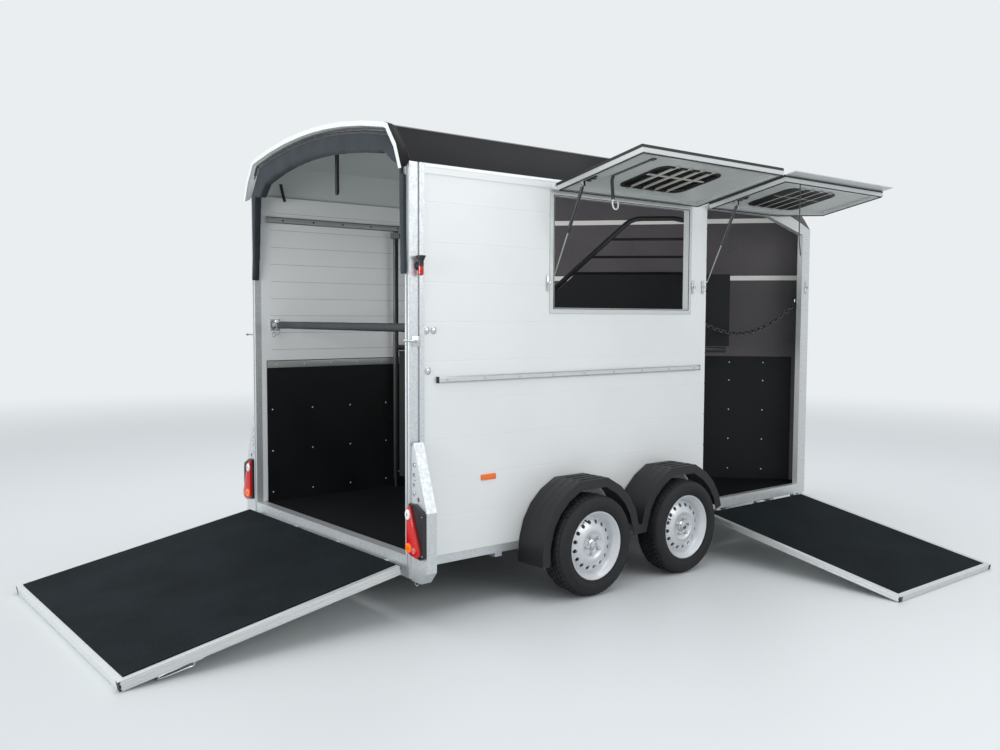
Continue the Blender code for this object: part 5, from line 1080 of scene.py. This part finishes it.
def makeChain():
    start, end, wire = Vector(chain["from"]), Vector(chain["to"]), chain["wire"]
    line = [start.lerp(end, t) - Vector((0, 0, chain["sag"] * 4 * t * (1 - t))) for t in (i / 240 for i in range(241))]
    length = sum((b - a).length for a, b in zip(line, line[1:]))
    count = int(length / chain["pitch"])
    wide, long = chain["link"][0] / 2 - wire, chain["link"][1] / 2 - wire
    oval = []
    for t in (2 * math.pi * k / 16 for k in range(16)):
        reach = (long - wide) * (1 if math.cos(t) > 0 else -1)
        oval.append(Vector((wide * math.cos(t) + reach, wide * math.sin(t), 0)))
    bm = bmesh.new()
    walked, step = 0.0, 0
    for a, b in zip(line, line[1:]):
        while step < count and walked + (b - a).length >= (step + 0.5) * length / count:
            place = a.lerp(b, ((step + 0.5) * length / count - walked) / (b - a).length)
            twist = Matrix.Rotation(math.pi / 4 + (math.pi / 2 if step % 2 else 0), 4, "X")
            turn = Matrix.Translation(place) @ (b - a).to_track_quat("X", "Z").to_matrix().to_4x4() @ twist
            hose(bm, [turn @ p for p in oval], wire, 2, cyclic=True)
            step += 1
        walked += (b - a).length
    piece = makePiece("door_chain_links", bm, powderCoat, "door_chain")
    print("chain length", round(length, 3))
    bm = bmesh.new()
    for (x, y, z), lean in ((start, -1), (end, 1)):
        bolt = x + lean * 0.004
        stick(bm, (bolt, -0.8690, z), (bolt, -0.8460, z), 0.0050, count=16, edge=0.0008)
        hose(bm, circle((x - lean * 0.014, -0.850, z), (0.020, 0, 0), (0, 0, 0.020)), 0.0046, 1, cyclic=True)
        stick(bm, (bolt, -0.8650, z), (bolt, -0.8610, z), 0.0140, count=24, edge=0.001)
    makePiece("chain_bolts", bm, brightSteel)


makeChain()
print("chain made")


# walls: top strip, rub rail bolts and caps, ramp catches, flap catches

wallTrim = {
    "face": 0.9003, "strip": ((-1.310, 2.045), (1.950, 1.9695)), "capX": (-1.2425, 0.8155),
    "bolts": ((-1.305, 1.139), (-1.262, 1.139), (-1.297, 0.935)),
    "boltHead": ((0.0, 0.0), (0.0180, 0.0), (0.0185, 0.0020), (0.0150, 0.0055), (0.0080, 0.0075), (0.0, 0.0080)),
    "catchKnob": ((0.0, -0.012), (0.006, -0.011), (0.0085, -0.004), (0.0085, 0.004), (0.006, 0.011), (0.0, 0.012)),
    "flapCatches": ((-0.488, 1.395), (0.753, 1.401), (0.852, 1.404), (2.010, 1.425)), "flapCatchFace": -0.9065,
}


def makeWallTrim(word, side):
    face = side * wallTrim["face"]
    stripX, stripZ = wallTrim["strip"]
    bm = bmesh.new()
    block(bm, stripX, (face, face + side * 0.0050), stripZ, 0.0015)
    makePiece(f"wall_top_strip_{word}", bm, brightTrim)
    bm = bmesh.new()
    for x, z in wallTrim["bolts"]:
        turned(bm, wallTrim["boltHead"], (x, face, z), (0, side, 0))
    for x in (-1.190 + k * 0.243 for k in range(9)):
        stick(bm, (x, side * 0.9222, 0.8875), (x, side * 0.9240, 0.8875), 0.0062, count=6)
    makePiece(f"wall_bolts_{word}", bm, brightSteel)
    bm = bmesh.new()
    for x in wallTrim["capX"]:
        block(bm, around(x, 0.003), (face, side * 0.9226), (0.8710, 0.9040), 0.002)
    makePiece(f"rub_rail_caps_{word}", bm, blackPlastic)
    bm = bmesh.new()
    block(bm, (-1.396, -1.346), (side * 0.9053, side * 0.9093), (1.060, 1.112), 0.0015)
    stick(bm, (-1.372, side * 0.9085, 1.086), (-1.372, side * 0.9190, 1.086), 0.0085, count=24, edge=0.001)
    stick(bm, (-1.372, side * 0.9160, 1.086), (-1.436, side * 0.9160, 1.090), 0.0060, 0.0045, 16, 0.0012)
    turned(bm, wallTrim["catchKnob"], (-1.440, side * 0.9160, 1.090), (1, 0, -0.05), 24)
    makePiece(f"ramp_catch_{word}", bm, brightSteel)


def makeFlapCatches():
    bm = bmesh.new()
    face = wallTrim["flapCatchFace"]
    for x, z in wallTrim["flapCatches"]:
        block(bm, around(x, 0.009), (face - 0.0025, face), around(z, 0.042), 0.001)
        stick(bm, (x, face - 0.002, z), (x, face - 0.017, z), 0.0050, count=16, edge=0.0008)
        stick(bm, (x, face - 0.016, z), (x, face - 0.020, z), 0.0090, edge=0.001)
        for level in around(z, 0.032):
            dome(bm, (x, face - 0.0024, level), (0, -1, 0), 0.0038, 0.0022)
    makePiece("flap_catches", bm, brightSteel)


for word, side in sides:
    makeWallTrim(word, side)
makeFlapCatches()
print("wall trim made")


# inside: mat trim, screws, face of the tie rail, joints of the wall lining

inside = {"mat": 0.8587, "wall": 0.8647, "rail": 0.8468, "railX": (-1.336, 1.50), "matRows": (0.060, 0.330, 0.600)}
tack = {"from": (0.830, 0.700), "angle": math.radians(49), "pitch": 0.245, "rows": (0.075, 0.300, 0.520, 0.740, 0.875)}


def makeInside():
    mat, wall, rail = inside["mat"], inside["wall"], inside["rail"]
    bm = bmesh.new()
    block(bm, (-1.334, 0.178), (mat - 0.0030, mat - 0.0002), (0.872, 0.916), 0.0010)
    makePiece("mat_trim_left", bm, tieSteel)
    bm = bmesh.new()
    for k in range(8):
        dome(bm, (-1.270 + k * 0.200, mat - 0.0030, 0.894), (0, -1, 0), 0.0040, 0.0022)
    for z in inside["matRows"]:
        for k in range(6):
            dome(bm, (-1.300 + k * 0.288, mat - 0.0001, z), (0, -1, 0), 0.0045, 0.0024)
    makePiece("mat_screws_left", bm, whitePlastic)
    bm = bmesh.new()
    for z in (1.8035, 1.8385):
        block(bm, inside["railX"], (rail - 0.0016, rail - 0.0001), (z, z + 0.0040), 0.0004)
    makePiece("tie_rail_edges", bm, softRubber)
    bm = bmesh.new()
    block(bm, inside["railX"], (rail - 0.0012, rail - 0.0001), (1.8080, 1.8380), 0.0004)
    makePiece("tie_rail_face", bm, tieSteel, slotName="galvanised_steel")
    bm = bmesh.new()
    for x in (-1.22 + k * 0.22 for k in range(12)):
        stick(bm, (x, rail - 0.0010, 1.823), (x, rail - 0.0024, 1.823), 0.0062, count=16)
    makePiece("tie_rail_holes", bm, softRubber)
    bm = bmesh.new()
    for z in (0.990 + k * 0.110 for k in range(9)):
        block(bm, (-1.300, 2.00), (wall - 0.0007, wall - 0.0001), around(z, 0.0011))
    makePiece("wall_joints_left", bm, jointSeal)


def makeTackScrews():
    # on the kick mat of the slanted wall: found by a ray along the wall's own normal
    bm = bmesh.new()
    along = Vector((math.cos(tack["angle"]), -math.sin(tack["angle"]), 0))
    normal = Vector((-along.y, along.x, 0))
    for z in tack["rows"]:
        for k in range(8):
            start = Vector((*tack["from"], z)) + along * (k * tack["pitch"]) - normal * 0.6
            place = strike("kick_mat_tack", start, normal)[0]
            if place:
                dome(bm, place, -normal, 0.0048, 0.0026)
    makePiece("mat_screws_tack", bm, whitePlastic)


makeInside()
makeTackScrews()
print("inside made")


# mudguards: ribs along the arch

guard = {"rows": (0.955, 1.010, 1.065), "axles": (-0.334, 0.431), "z": -0.057, "sweep": (22, 136),
         "reach": (0.28, 0.42)}


def makeGuardRibs(word, side):
    bm = bmesh.new()
    first, swept = guard["sweep"]
    near, far = guard["reach"]
    for centre in (Vector((x, side * y, guard["z"])) for y in guard["rows"] for x in guard["axles"]):
        line = []
        for angle in (math.radians(first + swept * k / 28) for k in range(29)):
            out = Vector((math.cos(angle), 0, math.sin(angle)))
            place = strike(f"mudguard_{word}", centre + out * 0.60, -out)[0]
            if place and near < (place - centre).length < far:
                line.append(place - out * 0.0006)
        hose(bm, line, 0.0026, 1)
    makePiece(f"mudguard_ribs_{word}", bm, blackPlastic)


# plank joints: the tongue that fills each groove almost to the face

joints = {
    "levels": [round(0.18 + 0.2 * k, 3) for k in range(9)], "faces": ((0.8962, 0.8994), (0.8653, 0.8685)),
    "right": {"whole": ((-1.318, 0.886),), "cut": ((-1.318, -0.478), (0.738, 0.886)), "cutZ": (1.22, 1.92)},
    "left": {"whole": ((-1.318, 2.040),), "cut": ((-1.318, 1.012), (1.632, 2.040)), "cutZ": (0.08, 1.70)},
}


def makeTongues(word, side):
    bm = bmesh.new()
    low, high = joints[word]["cutZ"]
    for z in joints["levels"]:
        for span in joints[word]["cut" if low < z < high else "whole"]:
            for near, far in joints["faces"]:
                block(bm, span, (side * near, side * far), around(z, 0.0040))
    makePiece(f"plank_tongues_{word}", bm, coatedPlank)


for word, side in sides:
    makeGuardRibs(word, side)
    makeTongues(word, side)
print("mudguards and plank joints made")


# ramps: rail beads, end caps and the carrying handle by the rear ramp's edge

rampLooks = {
    "rear": {"turn": about((-1.446, 0, -0.060), "Y", -math.radians(100.62)), "inner": -1.421, "outer": -1.466,
             "z": (-0.048, 1.350), "half": 0.890},
    "side": {"turn": about((0, -0.931, -0.078), "X", math.radians(100.47)), "inner": -0.911, "outer": -0.945,
             "z": (-0.066, 1.285), "ends": ((0.875, -1), (1.975, 1))},
    # of the handle's wire: out from the ramp's outer face, y and z
    "wire": ((0.004, -0.868, 1.020), (-0.024, -0.870, 1.030), (-0.024, -0.870, 1.060), (-0.024, -0.868, 1.150),
             (-0.024, -0.860, 1.185), (-0.024, -0.846, 1.185), (-0.024, -0.838, 1.150), (-0.022, -0.836, 1.060),
             (0.002, -0.836, 1.030)),
}


def makeRearRampLooks():
    ramp = rampLooks["rear"]
    outer, half, (low, high) = ramp["outer"], ramp["half"], ramp["z"]
    beads, caps, steel = bmesh.new(), bmesh.new(), bmesh.new()
    for word, side in sides:
        for x in (outer + 0.012, outer + 0.033):
            block(beads, around(x, 0.0030), (side * (half - 0.001), side * (half + 0.0016)),
                  (low + 0.010, high - 0.006), 0.0012)
        block(caps, (outer + 0.0020, ramp["inner"] - 0.0020), (side * (half - 0.0300), side * (half + 0.0004)),
              (high - 0.0100, high + 0.0002), 0.0002, 1)
        for z in (low + share * (high - low) for share in (0.14, 0.86)):
            block(steel, (outer - 0.0030, outer + 0.0005), around(side * 0.560, 0.020), around(z, 0.030), 0.001)
    hose(steel, smoothLine([(outer + x, y, z) for x, y, z in rampLooks["wire"]], 6), 0.0038, 2)
    block(steel, (outer - 0.0070, outer + 0.0005), (-0.886, -0.826), (0.985, 1.040), 0.002)
    for name, bm, finish in (("beads", beads, millAluminium), ("caps", caps, blackPlastic),
                             ("handle", steel, brightSteel)):
        makePiece(f"rear_ramp_{name}", bm, finish, body="rear_ramp", turn=ramp["turn"])


def makeSideRampLooks():
    ramp = rampLooks["side"]
    outer, (low, high) = ramp["outer"], ramp["z"]
    beads, caps = bmesh.new(), bmesh.new()
    for x, side in ramp["ends"]:
        for y in (outer + 0.009, outer + 0.025):
            block(beads, (x - side * 0.001, x + side * 0.0016), around(y, 0.0024), (low + 0.010, high - 0.006), 0.001)
        block(caps, (x - side * 0.028, x + side * 0.0004), (outer + 0.0020, ramp["inner"] - 0.0020),
              (high - 0.0100, high + 0.0002), 0.0002, 1)
    for name, bm, finish in (("beads", beads, millAluminium), ("caps", caps, blackPlastic)):
        makePiece(f"side_ramp_{name}", bm, finish, body="side_ramp", turn=ramp["turn"])


makeRearRampLooks()
makeSideRampLooks()
print("ramp details made")


# rear corners: post beads, locking pins with rings, bolts of the lamp brackets

corner = {"x": -1.4105, "beads": (0.873, 0.8985), "top": {"left": 1.400, "right": 1.415}, "pin": (-1.378, 0.922),
          "boltY": 0.936, "boltLevels": (0.330, 0.400, 0.470)}


def makeRearCorner(word, side):
    bm = bmesh.new()
    x = corner["x"]
    for y in corner["beads"]:
        block(bm, (x - 0.0016, x + 0.0010), around(side * y, 0.0022), (0.010, corner["top"][word]), 0.0010)
    makePiece(f"post_beads_{word}", bm, brightTrim, slotName="galvanised_steel")
    bm = bmesh.new()
    x, y = corner["pin"][0], side * corner["pin"][1]
    block(bm, (-1.3960, -1.3560), (side * 0.9060, side * 0.9250), (-0.112, -0.104), 0.001)
    stick(bm, (x, y, -0.128), (x, y, -0.060), 0.0060, count=16, edge=0.001)
    stick(bm, (x, y, -0.062), (x, y, -0.050), 0.0085, count=16, edge=0.001)
    hose(bm, circle((x, y, -0.035), (0, 0.013, 0), (0.003, 0, 0.013)), 0.0018, 1, cyclic=True)
    hose(bm, circle((x, y, -0.132), (0.011, 0, 0), (0, 0, 0.014)), 0.0018, 1, cyclic=True)
    makePiece(f"corner_pins_{word}", bm, brightSteel)
    bm = bmesh.new()
    y = side * corner["boltY"]
    for z in corner["boltLevels"]:
        dome(bm, (-1.4004, y, z), (-1, 0, 0), 0.0060, 0.0036)
        stick(bm, (-1.4003, y, z), (-1.4018, y, z), 0.0095)
    makePiece(f"bracket_bolts_{word}", bm, brightSteel)


for word, side in sides:
    makeRearCorner(word, side)


# seal along the edges of the window opening behind the rear flap

opening = {"x": (-0.448, 0.708), "z": (1.255, 1.885)}


def makeOpeningSeal():
    bm = bmesh.new()
    (left, right), (low, high) = opening["x"], opening["z"]
    edges = ((left, low, left, high), (right, low, right, high), (left, low, right, low), (left, high, right, high))
    for x, z, toX, toZ in edges:
        place = strike("window_frame", ((x + toX) / 2, -1.2, (z + toZ) / 2), (0, 1, 0))[0]
        if place and place.y < -0.89:
            hose(bm, [(x, place.y - 0.0006, z), (toX, place.y - 0.0006, toZ)], 0.0022, 1)
    makePiece("window_seal", bm, softRubber)


makeOpeningSeal()
print("rear corners and seals made")


# front end: drawbar bolts; white position lamps, reflectors, vents and a grab handle on the moulded nose

front = {
    "boltX": (2.900, 2.990, 3.080), "ringShares": (0.30, 0.55, 0.80),
    "rounds": (("position_lamp", 0.560, 0.560, 0.034, 0.016, clearLens),
               ("front_reflector", 0.560, 0.430, 0.026, 0.007, clearLens),
               ("vent", 0.300, 1.420, 0.060, 0.012, blackPlastic)),
    "handle": ((-0.160, 0.004), (-0.155, 0.030), (-0.130, 0.042), (0.0, 0.044), (0.130, 0.042), (0.155, 0.030),
               (0.160, 0.004)),
}


def makeDrawbarBolts():
    bm = bmesh.new()
    for x in front["boltX"]:
        for y in (0.050, -0.050):
            place = strike("drawbar", (x, y, 0.6), (0, 0, -1))[0]
            if place:
                stick(bm, place - Vector((0, 0, 0.0005)), place + Vector((0, 0, 0.0028)), 0.0125, count=24)
                stick(bm, place + Vector((0, 0, 0.0020)), place + Vector((0, 0, 0.0105)), 0.0090, count=6, edge=0.001)
    makePiece("drawbar_bolts", bm, brightSteel)


def makeNoseRounds(word, side):
    for name, y, z, radius, height, finish in front["rounds"]:
        place, normal = strike("nose", (3.4, side * y, z), (-1, 0, 0))
        rim = [(0.0, -0.002), (radius * 1.12, -0.002), (radius * 1.12, height * 0.35), (radius, height * 0.42)]
        top = [(radius * 0.96, height * 0.8), (radius * 0.80, height), (0.0, height * 1.02)]
        bm = bmesh.new()
        turned(bm, rim + top, place, normal, 40)
        makePiece(f"{name}_{word}", bm, finish)
    # rings on the last of the three, the vent
    bm = bmesh.new()
    sideways = normal.cross(Vector((0, 0, 1))).normalized() * radius
    upward = sideways.cross(normal)
    for share in front["ringShares"]:
        hose(bm, circle(place + normal * height, sideways * share, upward * share, 32), 0.0022, 1, cyclic=True)
    makePiece(f"vent_rings_{word}", bm, softRubber, slotName="black_plastic")


def makeNoseHandle():
    line = [strike("nose", (3.4, y, 0.900), (-1, 0, 0))[0] + Vector((out, 0, 0)) for y, out in front["handle"]]
    bm = bmesh.new()
    hose(bm, smoothLine(line, 5), 0.0100, 3)
    for end in (line[0], line[-1]):
        stick(bm, end - Vector((0.006, 0, 0)), end + Vector((0.004, 0, 0)), 0.0220, count=28, edge=0.002)
    makePiece("nose_handle", bm, blackPlastic)


makeDrawbarBolts()
for word, side in sides:
    makeNoseRounds(word, side)
makeNoseHandle()
print("front end made")
